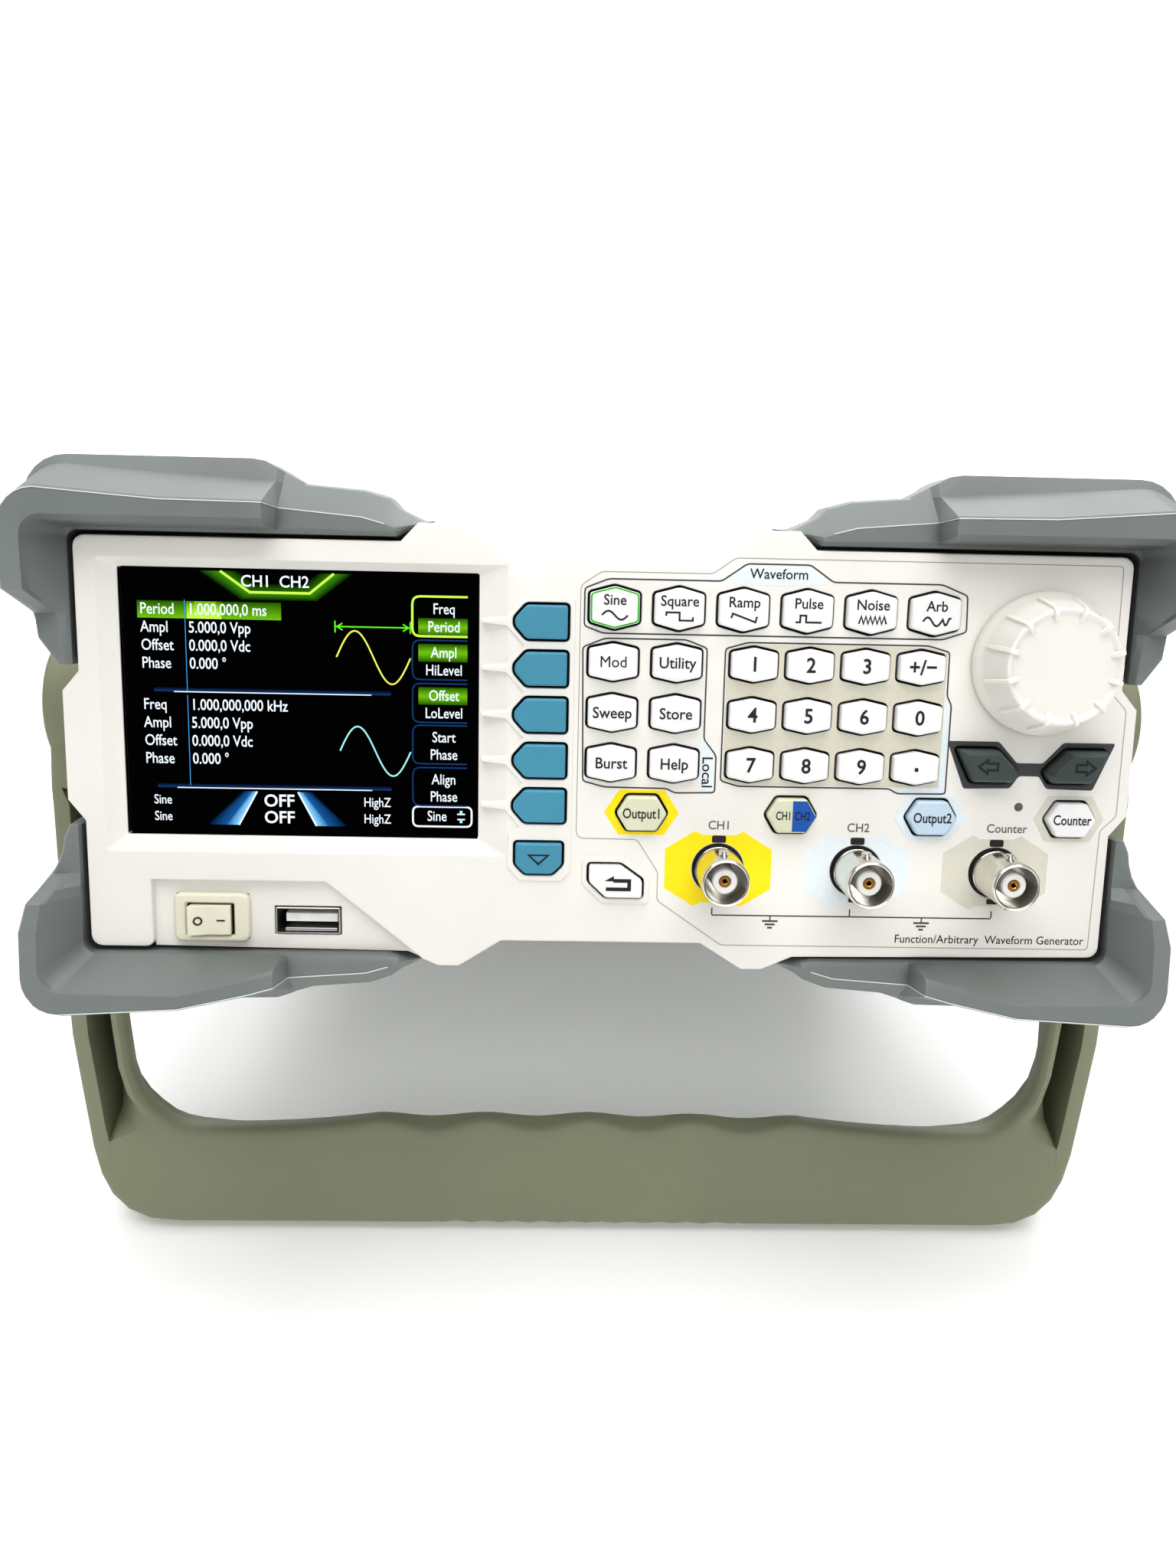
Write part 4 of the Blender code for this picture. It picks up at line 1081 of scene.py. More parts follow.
def display_rows(screen):
    screen.fade([(-94.8, 29.2), (-66, 29.2)], [(-94.8, 25.7), (-66, 25.7)], DIM_GREEN, LEAF)
    screen.fade([(-84.9, 29.2), (-78, 29.2)], [(-84.9, 25.7), (-78, 25.7)], LEAF, LIME)
    for rows, first, pitch in ((ROWS_UP, 27.5, 3.63), (ROWS_DOWN, 8.2, 3.7)):
        for i, (label, value) in enumerate(rows):
            z = first - i * pitch
            screen.words(label, -94.3, z, 3.25, bold=0.025)
            screen.words(value, -84.7, z, 3.25, bold=0.035)
        screen.stroke([(-85.3, first + 2.0), (-85.3, first - 3 * pitch - 5.5)], 0.16, BLUE)
    for z in (10.9, -8.9):
        band = [(-92, z), (-68, z), (-44, z)]
        screen.fade(moved(band, 0, 0.9), band, BLACK, DIM_BLUE)
        screen.stroke([(-88, z), (-48, z)], 0.22, WHITE)


def display_curves(screen):
    for x0, x1, high, low, colour in ((-55, -40, 23.9, 13.2, YELLOW), (-54.5, -40, 4.4, -5.8, CYAN)):
        turns = [i / 40 for i in range(41)]
        middle_z, half = (high + low) / 2, (high - low) / 2
        wave = [(x0 + (x1 - x0) * t, middle_z + half * math.sin(2 * math.pi * t)) for t in turns]
        screen.stroke(wave, 0.32, colour)
    screen.stroke([(-55.2, 24.7), (-40, 24.7)], 0.28, GREEN)
    for x, turn in ((-55.2, 1), (-40, -1)):
        screen.stroke([(x, 25.9), (x, 23.5)], 0.28, GREEN)
        screen.stroke([(x + turn * 1.5, 25.4), (x + turn * 0.4, 24.7), (x + turn * 1.5, 24.0)], 0.28, GREEN)


def display_header(screen):
    trapezoid = [(-78, 35.3), (-72.2, 31.2), (-60.2, 31.2), (-55.3, 35.2)]
    inner = [(-74.5, 35.3), (-71, 33.0), (-61.5, 33.0), (-58.5, 35.2)]
    outer = [(-82.5, 35.3), (-74.0, 29.6), (-58.6, 29.6), (-51.5, 35.2)]
    screen.fade(trapezoid, outer, (0.06, 0.28, 0.01), BLACK)
    screen.fade(trapezoid, inner, (0.03, 0.16, 0.0), BLACK)
    screen.stroke(trapezoid, 0.5, LIME)
    for text, x in (("CH1", -74.0), ("CH2", -66.3)):
        screen.words(text, x, 33.3, 3.3, bold=0.04, squeeze=0.95)


def display_footer(screen):
    top, foot = (-71.7, -63.3, -9.5), (-75.6, -59.6, -16.6)
    for side, x_top, x_foot in ((-1, top[0], foot[0]), (1, top[1], foot[1])):
        edge = [(x_top, top[2]), (x_foot, foot[2])]
        middle_line = [(x_top + side * 1.2, top[2]), (x_foot + side * 2.6, foot[2])]
        screen.fade(edge, middle_line, PALE_BLUE, DEEP_BLUE)
        last_line = [(x_top + side * 3, top[2]), (x_foot + side * 6.5, foot[2])]
        screen.fade(middle_line, last_line, DEEP_BLUE, BLACK)
        screen.stroke(edge, 0.35, WHITE)
    for z in (-11.5, -15.0):
        screen.words("OFF", -67.2, z, 3.6, align="CENTER", bold=0.07, squeeze=1.0)
        screen.words("Sine", -92.9, z, 2.8, bold=0.02)
        screen.words("HighZ", -49.8, z, 2.8, bold=0.02)


def display_menus(screen):
    for first, second, z, lit in MENUS:
        border = LIME if lit == 1 else DIM_BLUE
        left = rounded([(-28.4, z), (-39.6, z), (-39.6, z - 8.0), (-28.4, z - 8.0)], 1.6)
        outline = left[5:15]
        screen.stroke([(-28.4, z), *outline, (-28.4, z - 8.0)], 0.45 if lit == 1 else 0.3, border)
        for row, words in enumerate((first, second)):
            centre = z - 2.55 - 3.6 * row
            if lit is not None and row == lit:
                middle_row = [(-38.4, centre), (-28.4, centre)]
                for offset in (1.8, -1.8):
                    edge = [(x, centre + offset) for x, _ in middle_row]
                    screen.fade(middle_row, edge, LEAF, DIM_GREEN)
            screen.words(words, -33.2, centre, 3.1, align="CENTER", bold=0.025)
    box = rounded(rectangle(-39.6, -27.4, -16.3, -12.1), 1.2)
    screen.stroke(box, 0.4, WHITE, closed=True)
    screen.words("Sine", -34.6, -14.2, 3.1, align="CENTER", bold=0.025)
    for turn in (1, -1):
        screen.stroke([(-30.4, -14.2 + turn * 0.55), (-28.8, -14.2 + turn * 0.55)], 0.3, WHITE)
        screen.stroke([(-29.6, -14.2 + turn * 0.6), (-29.6, -14.2 + turn * 1.3)], 0.6, CYAN)


def display():
    panel = rectangle(SCREEN_X0 - 0.6, SCREEN_X1 + 0.6, SCREEN_Z0 - 0.6, SCREEN_Z1 + 0.6)
    loft("display_panel", edge_rings(panel, LCD_Y, LCD_Y + 0.4, 0.1, 1), "lcd_black")
    screen = Display()
    for draw in (display_header, display_rows, display_curves, display_footer, display_menus):
        draw(screen)
    screen.done()


# ---------------------------------------------------------------- bumpers

# A bumper is a skin through rows that run from its top tail round the corner to its side tail. Each row
# holds its depth in the tails and in the lip, its outline over the top as (x, z) and down the side as
# (z, x), for a bumper on the right, and its corner's radius. ACROSS and DOWN are where the rows are joined.
ACROSS = (37.4, 40.0, 42.3, 44.4, 49.0, 56.0, 61.0, 65.2, 66.6, 69.0, 71.5, 80.0, 86.0, 96.0)
DOWN = (37.0, 31.0, 29.0, 26.4, 24.0, 21.5, 18.8, 16.3)
TIP_Y, TIP_Z, TIP_X = 7.5, 45.8, 42.3
LIP_X, LIP_Z, TAIL_Z = 66.0, 31.0, 26.4
UPPER_RIDGE = ((42.3, 48.6), (44.4, 50.8), (49, 52.0), (61, 52.9), (69, 57.2), (71.5, 57.6), (110, 57.6))
UPPER_SIDE = ((16, 109.6), (21.5, 114.6), (26.4, 116.6), (37, 117.2))
UPPER_ROWS = (
    (33.0, 33.0, ((42.3, 45.4),), ((16, 107.4),), 3),
    (12.6, 12.6, ((42.3, 45.4),), ((16, 107.4),), 3),
    (12.4, 12.4, ((42.3, 42.6),), ((16, 106.6),), 2),
    (0.2, 0.2, ((42.3, 42.7),), ((16, 106.7),), 2),
    (-0.4, -0.6, ((42.3, 43.2), (66.6, 43.4)), ((16, 107.3),), 2),
    (
        -0.9, -6.2, ((42.3, 43.5), (65.2, 43.8), (66.6, 44.0)),
        ((16, 107.6), (26.4, 108.6), (31, 111.6), (37, 111.6)), 3,
    ),
    (
        -1.0, -8.2, ((42.3, 43.9), (65.2, 44.6), (66.6, 45.2)),
        ((16, 107.8), (26.4, 109.2), (31, 112.2), (37, 112.3)), 4,
    ),
    (-1.0, -8.5, (
        (42.3, 44.3), (44.4, 44.9), (49, 46.1), (65.2, 47.5), (66.6, 48.0), (86, 48.2), (111, 50),
    ),
     ((16, 108.6), (21.5, 112.2), (26.4, 112.0), (31, 115.9), (40, 116.1)), 7),
    (-0.5, -7.9, (
        (42.3, 44.7), (44.4, 45.4), (49, 46.6), (65.2, 48.0), (66.6, 48.6), (86, 48.8), (111, 50.6),
    ),
     ((16, 109.0), (21.5, 112.9), (26.4, 113.4), (31, 116.4), (40, 116.6)), 8),
    (5.0, 4.0, ((42.3, 48.2), (44.4, 50.2), (49, 51.5), (61, 52.5), (65.2, 53.1), (87, 54.3), (110, 55.6)),
     ((16, 109.4), (21.5, 114.4), (26.4, 116.2), (37, 117.0)), 9),
    (6.6, 5.8, UPPER_RIDGE, UPPER_SIDE, 9),
    (16.0, 20.0, UPPER_RIDGE, UPPER_SIDE, 9),
    (20.0, 24.0, ((42.3, 47.6), (49, 49.4), (61, 50.4), (71.5, 51.6), (110, 52.0)),
     ((16, 109.6), (21.5, 113.4), (37, 116.2)), 9),
    (33.0, 33.0, ((42.3, 47.2), (61, 48.2), (110, 49.0)), ((16, 109.4), (21.5, 112.4), (37, 113.2)), 8),
)
LOWER_RIDGE = ((42.3, 48.0), (45, 50.0), (49, 51.2), (61, 52.2), (69, 54.8), (86, 55.2), (110, 55.2))
LOWER_ROWS = (
    (33.0, 33.0, ((42.3, 43.9),), ((16, 107.4),), 3),
    (12.4, 12.4, ((42.3, 43.9),), ((16, 107.4),), 3),
    (12.2, 12.2, ((42.3, 43.2), (44.4, 42.7)), ((16, 106.6),), 2),
    (0.6, 0.6, ((42.3, 43.3), (44.4, 42.8)), ((16, 106.7),), 2),
    (-0.3, -0.6, ((42.3, 43.6), (44.4, 43.3), (66.6, 43.4)), ((16, 107.1),), 3),
    (-0.6, -7.4, ((42.3, 43.8), (65.2, 44.4), (66.6, 44.2), (86, 49.2), (109, 48.9)),
     ((16, 107.4), (23, 108.4), (31, 111.4), (33.5, 112.5), (40, 113.0)), 4),
    (-0.8, -8.3, ((42.3, 44.2), (65.2, 45.6), (66.6, 45.0), (86, 49.8), (109, 49.5)),
     ((16, 107.8), (23, 108.8), (31, 112.2), (33.5, 113.0), (40, 113.6)), 5),
    (-1.0, -8.5, (
        (42.3, 44.6), (45, 45.4), (49, 46.6), (65.2, 47.8), (66.6, 47.6), (71.5, 49.0), (86, 52.3),
        (112, 53.8),
    ),
     ((16, 108.2), (18.8, 109.4), (23, 110.0), (31, 114.6), (33.5, 116.2), (40, 116.9)), 7),
    (-0.5, -7.9, (
        (42.3, 44.9), (45, 45.8), (49, 47.0), (65.2, 48.3), (66.6, 48.2), (71.5, 49.6), (86, 52.9),
        (112, 54.4),
    ),
     ((16, 108.6), (18.8, 109.9), (23, 110.6), (31, 115.2), (33.5, 116.8), (40, 117.2)), 8),
    (5.0, 4.0, ((42.3, 47.6), (45, 49.6), (49, 50.8), (61, 51.8), (65.2, 52.2), (86, 53.8), (110, 55.0)),
     ((16, 109.2), (23, 112.6), (31, 116.4), (37, 117.2)), 9),
    (6.6, 6.0, LOWER_RIDGE,
     ((16, 109.4), (23, 113.0), (31, 116.6), (37, 117.2)), 9),
    (16.0, 20.0, LOWER_RIDGE,
     ((16, 109.4), (23, 113.2), (31, 116.6), (37, 117.2)), 9),
    (
        20.0, 24.0, ((42.3, 47.2), (49, 48.6), (61, 49.4), (110, 51.0)),
        ((16, 109.4), (23, 112.6), (37, 116.2)), 9,
    ),
    (33.0, 33.0, ((42.3, 46.6), (61, 47.4), (110, 48.4)), ((16, 109.2), (23, 111.6), (37, 113.2)), 8),
)


def reading(points, place_at):
    """The height of a broken line at a place, level beyond its ends."""
    for (x0, z0), (x1, z1) in zip(points, points[1:]):
        if x0 <= place_at <= x1:
            return z0 + (z1 - z0) * (place_at - x0) / (x1 - x0)
    return points[0][1] if place_at < points[0][0] else points[-1][1]


def bumper_row(row):
    y_tail, y_lip, over, down, radius = row
    points = []
    for x in ACROSS:
        y, z = (y_tail if x < LIP_X else y_lip), reading(over, x)
        if x < TIP_X:
            share = (TIP_X - x) / (TIP_X - ACROSS[0])
            tip = TIP_Z + 0.07 * max(0.0, y - TIP_Y)
            y, z = y + max(0.0, TIP_Y - y) * share, z + (tip - z) * share
        points.append((x, y, z))
    corner_x, corner_z = reading(down, 45.0), reading(over, 110.0)
    points += [(x, y_lip, z) for x, z in arc(corner_x - radius, corner_z - radius, radius, 90, 0, 7)]
    for z in DOWN:
        share = min(1.0, max(0.0, (LIP_Z - z) / (LIP_Z - TAIL_Z)))
        points.append((reading(down, z), y_lip + (y_tail - y_lip) * share, z))
    return points


def soften(obj, width, angle):
    """Rounds a piece's edges, before its normals are weighted."""
    bevel = obj.modifiers.new("soft_edges", "BEVEL")
    bevel.width, bevel.segments = width * MM, 3
    bevel.limit_method, bevel.angle_limit = "ANGLE", math.radians(angle)
    bevel.use_clamp_overlap = True
    obj.modifiers.move(len(obj.modifiers) - 1, 0)


def bead(name, points, radius, material):
    """A thin raised line along points in space."""
    sections = []
    for i, point in enumerate(points):
        along = (Vector(points[min(i + 1, len(points) - 1)]) - Vector(points[max(i - 1, 0)])).normalized()
        out = Vector((0, -1, 0))
        side = along.cross(out).normalized() * radius
        out = side.cross(along).normalized() * radius
        corners = ((1, 1), (-1, 1), (-1, -1), (1, -1))
        sections.append([tuple(Vector(point) + a * side + b * out) for a, b in corners])
    loft(name, sections, material)


PARTING_ROW = 7


def front_bumper(vertical, horizontal):
    rows, z_sign = (UPPER_ROWS, 1) if vertical == "upper" else (LOWER_ROWS, -1)
    x_sign = -1 if horizontal == "left" else 1
    grid = [[(x_sign * x, y, z_sign * z) for x, y, z in bumper_row(row)] for row in rows]
    name = f"{vertical}_{horizontal}"
    sections = [list(section) for section in zip(*grid)]
    bumper = loft(f"bumper_{name}", sections, "bumper_grey", sharp=60, replaces=[f"front_bumper_{name}"])
    soften(bumper, 0.45, angle=20)
    start, end = ACROSS.index(TIP_X) + 1, -len(DOWN) - 3
    line = [(x, y + 0.05, z + z_sign * 0.15) for x, y, z in grid[PARTING_ROW][start:end]]
    # a pale bead along the parting line: painted highlight on the ridge
    bead(f"flash_highlight_{name}", line, 0.11, "flash_highlight")


# ---------------------------------------------------------------- handle

PIVOT = Vector(JOINTS["handle_swing"]["pos_m"])
GRIP_FRONT, GRIP_BACK, GRIP_FOOT_Y = 45.0, 64.0, 57.0
TILT = math.asin(-INTO.z)
GROOVE_PITCH, GROOVES_END = 27.0, 54.0
FLAT = (3.0, 3.4, 0.0)  # a groove with no depth


def grip_edge(x, level, swing):
    """An upper edge of the grip: waves for the fingers in its middle, and a long slope towards each end."""
    reach = abs(x)
    turns = min(reach, GROOVES_END) / GROOVE_PITCH
    slope = min(1.0, max(0.0, (reach - GROOVES_END) / 38.0))
    return level - 0.2 * turns + swing * math.cos(2 * math.pi * turns) - 2.8 * slope * (2 - slope)


def grip_foot(x):
    """The grip's lower edge, with small scallops under its middle."""
    reach = abs(x)
    return -130.0 + (0.35 * (1 - math.cos(2 * math.pi * reach / 7.5)) / 2 if reach < 41.25 else 0.0)


def handle_section(outer, inner, front, back, groove, fall=0.3):
    """A section from its outer to its inner edge, with a groove (start, end, depth) in its face.

    Its inner side is lower at the back by a fall, and slopes from there to the back."""
    (ox, oz), (ix, iz) = outer, inner
    across = Vector((ix - ox, iz - oz))
    length = across.length
    rise = (GRIP_BACK - GRIP_FOOT_Y) * math.tan(TILT)
    start, end, depth = groove
    middle = (end + length) / 2
    profile = [(0, front + 2.0), (0.5, front + 0.6), (1.6, front), (start, front)]
    profile += [(start + 0.15, front + depth), (end - 0.1, front + depth), (end + 0.3, front + depth * 0.5)]
    profile += [(middle, front + depth * 0.16), (length - 3.0, front + depth * 0.05)]
    profile += [(length - 1.5, front + 0.35), (length - 0.5, front + 1.1)]
    profile += [(length, front + 2.4), (length - fall, front + 6.0), (length - fall - 1.2, front + 7.2)]
    profile += [(length - 6.0, front + 10.0), (length - 6.5, back - 1.0), (length - 7.5, back)]
    profile += [(rise, back), (0, back - (GRIP_BACK - GRIP_FOOT_Y))]
    points = []
    for reach, y in profile:
        point = Vector((ox, oz)) + across * (reach / length)
        points.append((point.x, y, point.y))
    return points


def handle_stations():
    """Sections down the left arm, round its corner and along the end of the grip."""
    stations = [
        ((-130.3, 3.0), (-118.0, 3.0), 42.0, 69.5, FLAT),
        ((-130.3, -16.0), (-118.0, -16.0), 40.8, 69.5, FLAT),
        ((-130.2, -20.0), (-118.0, -20.0), 41.0, 69.0, (4.5, 8.0, 16.0)),
        ((-130.1, -62.0), (-117.6, -62.0), 43.0, 67.0, (4.5, 8.3, 16.0)),
        ((-129.8, -79.0), (-116.4, -79.0), 44.0, 66.0, (4.5, 8.5, 16.0)),
        ((-128.9, -88.5), (-115.7, -88.0), 44.6, GRIP_BACK, (4.6, 8.1, 16.0)),
        ((-127.9, -97.0), (-113.9, -94.8), 44.8, GRIP_BACK, (4.6, 7.6, 15.0)),
        ((-127.0, -104.5), (-110.8, -99.1), GRIP_FRONT, GRIP_BACK, (4.6, 6.6, 13.0)),
        ((-126.3, -109.8), (-107.8, -101.8), GRIP_FRONT, GRIP_BACK, (4.9, 5.5, 0.2)),
        ((-124.6, -117.0), (-105.0, -103.4), GRIP_FRONT, GRIP_BACK, FLAT),
        ((-122.0, -122.6), (-102.3, -104.1), GRIP_FRONT, GRIP_BACK, FLAT),
        ((-118.0, -126.8), (-99.0, -104.4), GRIP_FRONT, GRIP_BACK, FLAT),
        ((-112.5, -129.3), (-95.5, -104.4), GRIP_FRONT, GRIP_BACK, FLAT),
        ((-105.0, -130.0), (-92.0, -104.4), GRIP_FRONT, GRIP_BACK, FLAT),
    ]
    return [handle_section(*station) for station in stations]


def handle_bow():
    """Both arms and the grip between them in one piece."""
    left = handle_stations()
    grip = []
    for x in [-84.0, -76.0, -68.0, -61.0] + [i * 1.875 for i in range(-30, 31)] + [61.0, 68.0, 76.0, 84.0]:
        top, back_top = grip_edge(x, -102.3, 1.25), grip_edge(x, -101.9, 0.5)
        edges = (x, grip_foot(x)), (x, top)
        grip.append(handle_section(*edges, GRIP_FRONT, GRIP_BACK, FLAT, top - back_top))
    right = [[(-x, y, z) for x, y, z in section] for section in reversed(left)]
    loft("handle_bow", left + grip + right, "handle_olive", "handle", sharp=40, replaces=["carry_handle"])


def around_x(y, z, profile, side, count=56):
    """Rings round an axis along X, from (radius, x) points."""
    return [[(side * x, a, b) for a, b in circle(y, z, radius, count)] for radius, x in profile]


def handle_hub(side):
    """The round hub at the top of an arm, with a sunk ring and a plug, and its shaft in the case's side."""
    pivot = CASE.inverted() @ PIVOT / MM
    y, z = pivot.y, pivot.z
    profile = [(8.5, 101.4), (8.5, 103.4), (6.7, 103.4), (6.7, 107.4), (11.0, 107.4), (11.0, 117.4)]
    profile += [(16.2, 117.4), (17.0, 118.2), (17.0, 129.0), (16.6, 130.0), (15.6, 130.6)]
    profile += [(13.6, 130.75), (13.2, 130.3), (12.6, 130.0), (12.0, 130.3), (11.6, 130.7)]
    profile += [(5.6, 130.75), (5.0, 130.5), (4.6, 129.6), (0.6, 129.6)]
    word = "right" if side > 0 else "left"
    loft(f"handle_hub_{word}", around_x(y, z, profile, side), "handle_olive", "handle")


# ---------------------------------------------------------------- rear

REAR_SOCKETS = ((84, "CH1 Sync"), (58, "CH2 Sync"), (32, "Counter"), (6, "10 MHz"))
CASE_X, CASE_TOP, CASE_BOTTOM, CASE_END = 107.0, 45.0, -43.5, 294.0
BUMPER_X, RIM_TOP, FEET_Z = 117.2, 54.0, -55.2
REAR_START, FEET_Y, REAR_END = 268.0, 296.0, 305.7


def frame_loop(side, top, bottom, side_waist, top_waist, bottom_waist, radius):
    """A closed outline with four full corners and a narrower waist in the middle of each side."""

    def quarter(height, waist):
        corner = arc(side - radius, height - radius, radius, 90, 0, 6)
        return [(44.0, waist), (62.0, height), *corner, (side, 24.0), (side_waist, 15.0)]

    lower = [(x, -z) for x, z in quarter(-bottom, -bottom_waist)]
    right = lower + quarter(top, top_waist)[::-1]
    return rounded(right + mirrored(right), 5.0, 3)


def rear_bumper():
    """The soft frame round the rear: feet at its corners, and a rim that overhangs the sockets."""
    side, top, bottom = CASE_X + 0.4, CASE_TOP + 0.4, CASE_BOTTOM - 0.4

    def outside(step, foot):
        return frame_loop(BUMPER_X - step, RIM_TOP - step, foot, 111.0, 48.0, -47.0, 9)

    foot_end = REAR_END - 1.2
    rise = FEET_Z + (foot_end - FEET_Y) * math.tan(TILT)
    seat = frame_loop(side, top, bottom, side, top, bottom, 3)
    low = frame_loop(side + 1.6, top + 1.6, bottom - 1.6, side + 1.6, top + 1.6, bottom - 1.6, 4)
    mouth = frame_loop(BUMPER_X - 5, RIM_TOP - 4.5, rise + 4.6, 108.6, 46.2, -45.0, 6)
    sections = [(REAR_START, low), (REAR_START + 8, outside(3.6, -51.4))]
    sections.append((REAR_START + 12, outside(1.2, -54.2)))
    sections += [(REAR_START + 16, outside(0.0, FEET_Z)), (FEET_Y, outside(0.0, FEET_Z))]
    sections += [(foot_end, outside(0.8, rise)), (REAR_END, outside(2.4, rise + 1.6)), (REAR_END, mouth)]
    sections += [(CASE_END + 1.0, seat), (REAR_START, seat)]
    rings = [at_y(shape, y) for y, shape in sections]
    frame_piece = loft("rear_frame", rings, "bumper_grey", looped=True, sharp=60, replaces=["rear_bumper"])
    soften(frame_piece, 0.6, angle=35)


def port(name, outer, opening, depth, material, proud=0.6):
    """A socket's body with an opening into it and a dark floor."""
    hole = [at_y(opening, y) for y in (-proud, depth)]
    plate(name, edge_rings(outer, -proud, depth, 0.25), [hole], material, seen_from=REAR)
    floor = edge_rings(grow(opening, -0.05), depth - 2.0, depth - 0.1, 0.1)
    loft(f"{name}_floor", floor, "dark_plastic", seen_from=REAR)


def rear_ports():
    latch = [(40.8, -18.6), (40.8, -16.6), (47.2, -16.6), (47.2, -18.6)]
    opening = [(37.6, -26.6), (37.6, -18.6), *latch, (50.4, -18.6), (50.4, -26.6)][::-1]
    port("network", rectangle(36.3, 51.7, -27.7, -14.3), opening, 13.0, "steel")
    bm = bmesh.new()
    for i in range(8):
        x = 44 + (i - 3.5) * 1.1
        ends = ((1.5, -25.6), (10.5, -22.6))
        add_loft(bm, [at_y(centred(x, z, 0.45, 0.25), y) for y, z in ends])
    place("network_contacts", bm, "gold", seen_from=REAR)
    lamps = Print("network_lamps", "pad_blue", y=-0.6, depth=0.15, seen_from=REAR)
    lamps.shape(centred(38.9, -16.4, 2.0, 2.0)).shape(centred(49.1, -16.4, 2.0, 2.0)).done()
    opening = [(15.8, -25.4), (24.2, -25.4), (24.2, -19.6), (22.6, -17.8), (17.4, -17.8), (15.8, -19.6)]
    port("usb_device", rectangle(14.3, 25.7, -26.7, -16.3), opening, 13.0, "steel")
    tongue = edge_rings(rectangle(17.4, 22.6, -23.4, -20.2), 1.5, 11.5, 0.3)
    loft("usb_device_tongue", tongue, "white_insulator", seen_from=REAR)


def mains_inlet():
    """The inlet's flange, its pocket with two cut corners, and three blades."""
    body = rectangle(68.2, 95.8, -29.8, -8.2)
    pocket = [(70.6, -26.8), (93.4, -26.8), (93.4, -14.6), (90.0, -11.2), (74.0, -11.2), (70.6, -14.6)]
    flange = edge_rings(rounded(rectangle(65.6, 98.4, -32.4, -5.6), 2.5), -2.0, -0.1, 0.7, 4)
    rings = flange + [at_y(rounded(body, 1.0), y) for y in (-0.1, 18.0)]
    hole = [at_y(grow(pocket, 0.4), -2.0), at_y(pocket, -1.6), at_y(pocket, 18.0)]
    plate("inlet_body", rings, [hole], "dark_plastic", replaces=["ac_inlet"], seen_from=REAR)
    loft("inlet_floor", edge_rings(grow(pocket, -0.05), 15.0, 17.5, 0.2), "dark_plastic", seen_from=REAR)
    bm = bmesh.new()
    for x, z, y in ((82, -17.6, 0.2), (75.2, -21.6, 2.0), (88.8, -21.6, 2.0)):
        add_loft(bm, edge_rings(rounded(centred(x, z, 2.0, 4.6), 0.4), y, 16.0, 0.5))
    place("inlet_blades", bm, "steel", seen_from=REAR)


def hexagonal(x, z, radius, count=24):
    """A hexagon as a ring of as many points as the circles round it."""
    ring = []
    for i in range(count):
        angle = 2 * math.pi * i / count
        reach = radius * math.cos(math.pi / 6) / math.cos(angle % (math.pi / 3) - math.pi / 6)
        ring.append((x + reach * math.cos(angle), z + reach * math.sin(angle)))
    return ring


def screw_rings(x, z):
    """A pan-head screw with a hexagonal recess, standing on y = 0."""
    recess = [at_y(hexagonal(x, z, radius), y) for radius, y in ((0.5, -0.5), (1.25, -0.55), (1.3, -1.45))]
    head = ((1.55, -1.6), (2.1, -1.5), (2.7, -1.0), (2.95, -0.4), (3.0, 0.2))
    return recess + turned_rings(x, z, head, 24)


def fasteners():
    bm = bmesh.new()
    for x, z in ((99.0, 37.0), (-99.0, 37.0), (99.0, -36.5), (-99.0, -36.5), (-14.0, 36.0), (-14.0, -36.0)):
        add_loft(bm, screw_rings(x, z))
    place("rear_screws", bm, "nickel", seen_from=REAR)
    bm = bmesh.new()
    for side in (-1, 1):
        for y in (112.0, 254.0):
            rings = []
            for ring in screw_rings(0, 0):
                rings.append([(side * (CASE_X - b), y + a, -29.0 + c) for a, b, c in ring])
            add_loft(bm, rings)
    place("side_screws", bm, "nickel")
    post = [(1.4, -8.0), (1.9, -7.6), (1.9, -4.6), (3.9, -4.5), (4.1, -4.2), (4.1, -1.4)]
    post += [(3.2, -1.3), (3.2, -0.8), (5.2, -0.7), (5.2, 0.2)]
    loft("ground_post", turned_rings(59, -21, post, 32), "nickel", seen_from=REAR)


def rear_sockets():
    words = Print("print_rear", "dark_ink_and_shade", seen_from=REAR)
    for x, label in REAR_SOCKETS:
        bnc_socket(f"rear_socket_{x}", x, 20, seen_from=REAR)
        sides = ((6.9, -2.2), (7.4, -1.9), (7.4, 0.0))
        nut = [at_y(hexagonal(x, 20, radius, 48), y) for radius, y in sides]
        bore = turned_rings(x, 20, ((5.05, 0.0), (5.05, -2.2)), 48)
        loft(f"rear_nut_{x}", nut + bore, "nickel", looped=True, seen_from=REAR)
        words.text(label, x, 30.5, 3.4, 0.9)
    words.text("LAN", 44, -10.5, 3.4, 0.9).text("USB", 20, -12.5, 3.4, 0.9)
    for i, half in enumerate((2.4, 1.5, 0.7)):
        words.line([(59 - half, -30.2 - 1.1 * i), (59 + half, -30.2 - 1.1 * i)], 0.45)
    words.line([(59, -28.2), (59, -30.0)], 0.45).done()


# ---------------------------------------------------------------- stage


def stage_material():
    n = Nodes("floor_paper", (0.9, 0.9, 0.9), 0.7)
    n.wire("Base Color", n.ramp(n.noise(3.0, 4.0), [(0.3, (0.92, 0.92, 0.92)), (0.7, (0.96, 0.96, 0.96))]))
    n.set("Emission Color", (0.98, 1.0, 0.96, 1.0))
    n.set("Emission Strength", 0.12)
    return n.material


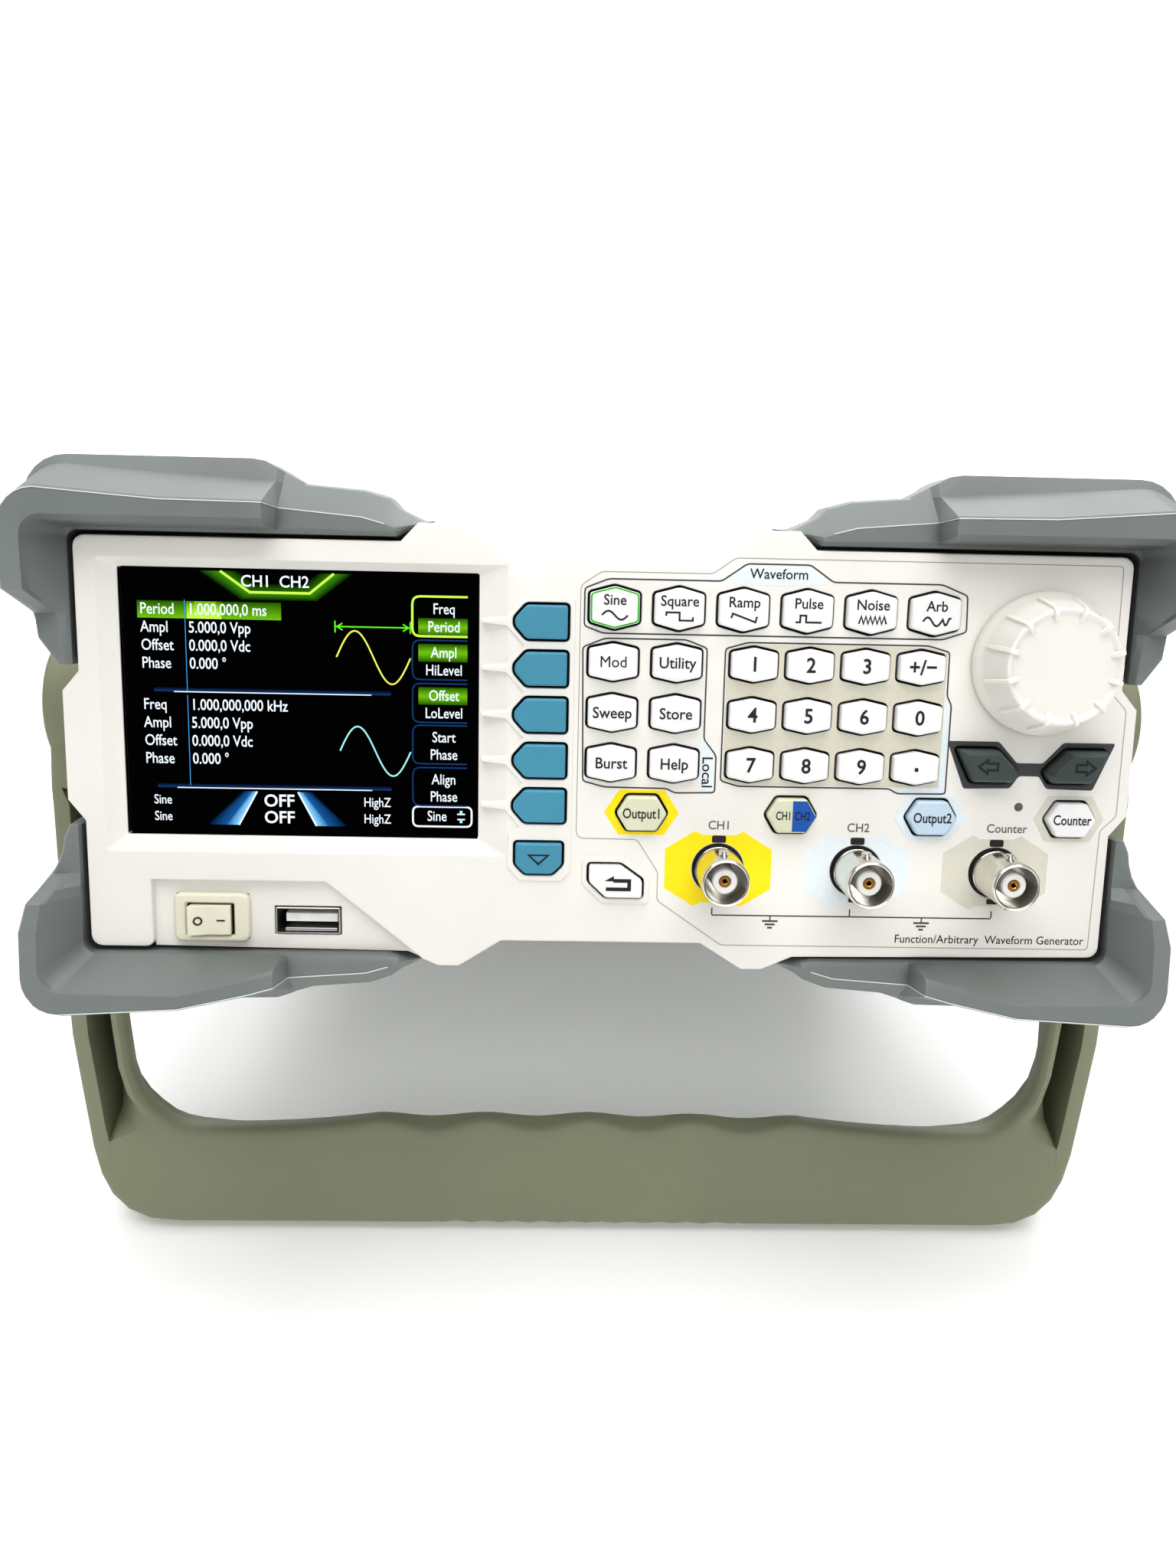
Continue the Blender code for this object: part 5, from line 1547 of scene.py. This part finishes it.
def floor_and_backdrop():
    """A sheet that lies under the instrument and curves up far behind it."""
    bm = bmesh.new()
    bend = moved(arc(0, 0.8, 0.8, -80, 0, 9), 1.6, 0)
    profile = [(-3.0, 0.0), (1.6, 0.0), *bend, (2.4, 3.5)]
    rows = [[bm.verts.new((x, y, z)) for y, z in profile] for x in (-4.0, 4.0)]
    for i in range(len(profile) - 1):
        bm.faces.new((rows[0][i], rows[1][i], rows[1][i + 1], rows[0][i + 1]))
    mesh = bpy.data.meshes.new("floor")
    bm.to_mesh(mesh)
    bm.free()
    mesh.materials.append(stage_material())
    mesh.shade_smooth()
    obj = bpy.data.objects.new("floor", mesh)
    link(obj)


# The photo's camera: its lens, and its place and angles in the case's axes, in millimetres and degrees.
LENS = 27.035
CAMERA_PLACE = (-10.164, -237.940, 33.494)
CAMERA_ANGLES = (80.544, -1.211, -1.433)


def area_light(name, location, target, size, power, colour=(1, 1, 1)):
    light = bpy.data.lights.new(name, "AREA")
    light.shape, light.size, light.size_y = "RECTANGLE", size[0], size[1]
    light.energy, light.color = power, colour
    obj = bpy.data.objects.new(name, light)
    obj.location = location
    obj.rotation_euler = (Vector(target) - Vector(location)).to_track_quat("-Z", "Y").to_euler()
    link(obj)


def light_and_camera():
    area_light("softbox_above", (-0.02, -0.30, 1.35), (0, 0.05, 0.1), (1.5, 1.1), 15, (1.0, 0.99, 0.965))
    area_light("softbox_front", (0.25, -1.5, 1.15), (0, -0.1, 0.1), (1.3, 0.8), 6.5, (0.98, 0.99, 1.0))
    area_light("softbox_behind", (0.2, 1.2, 1.2), (0, 0, 0.1), (1.4, 0.8), 10)
    area_light("backdrop_light", (0.0, 0.9, 1.9), (0, 2.3, 0.9), (2.5, 1.0), 34)
    world = bpy.data.worlds.new("room")
    world.use_nodes = True
    world.node_tree.nodes["Background"].inputs["Color"].default_value = (0.97, 0.98, 1.0, 1.0)
    world.node_tree.nodes["Background"].inputs["Strength"].default_value = 0.2
    bpy.context.scene.world = world
    bpy.context.scene.view_settings.view_transform = "Standard"
    bpy.context.scene.view_settings.look = "Medium High Contrast"
    camera = bpy.data.cameras.new("camera")
    camera.lens, camera.sensor_width, camera.clip_start = LENS, 36.0, 0.01
    holder = bpy.data.objects.new("camera", camera)
    link(holder)
    angles = Euler([math.radians(angle) for angle in CAMERA_ANGLES])
    pose = Matrix.Translation(Vector(CAMERA_PLACE) * MM) @ angles.to_matrix().to_4x4()
    holder.matrix_world = CASE @ pose
    bpy.context.scene.camera = holder


FINISHES = {
    "case_cover": "case_grey",
    "case_base": "case_grey",
    "rear_panel": "steel",
    "screen_lens": "screen_glass",
    "main_board": "board_green",
    "keypad_board": "board_green",
    "lcd_module": "steel",
    "power_supply": "steel",
}


def finish_cad_nodes():
    """Every CAD node that stays in view gets its finish."""
    for name, node in NODES.items():
        if not node.hide_render:
            material = FINISHES.get(name, "bumper_grey")
            node.data.materials.clear()
            node.data.materials.append(MATERIALS[material])


front_bezel()
group_printing()
socket_printing()
keyway_shade_patches()
gap_shade_sleeves()
soft_key_surround()
row_surrounds()
for key_name in KEYS:
    key_cap(key_name)
key_legends()
channel_key_halves()
lit_key_rim()
tuning_knob()
for socket_name, socket_x in BNC_X.items():
    bnc_socket(socket_name, socket_x, BNC_Z, [f"bnc_{socket_name}"])
usb_socket()
power_switch()
channel_lamp()
display()
for vertical in ("upper", "lower"):
    for horizontal in ("left", "right"):
        front_bumper(vertical, horizontal)
handle_bow()
for side in (-1, 1):
    handle_hub(side)
rear_bumper()
rear_ports()
mains_inlet()
fasteners()
rear_sockets()
finish_cad_nodes()
floor_and_backdrop()
light_and_camera()
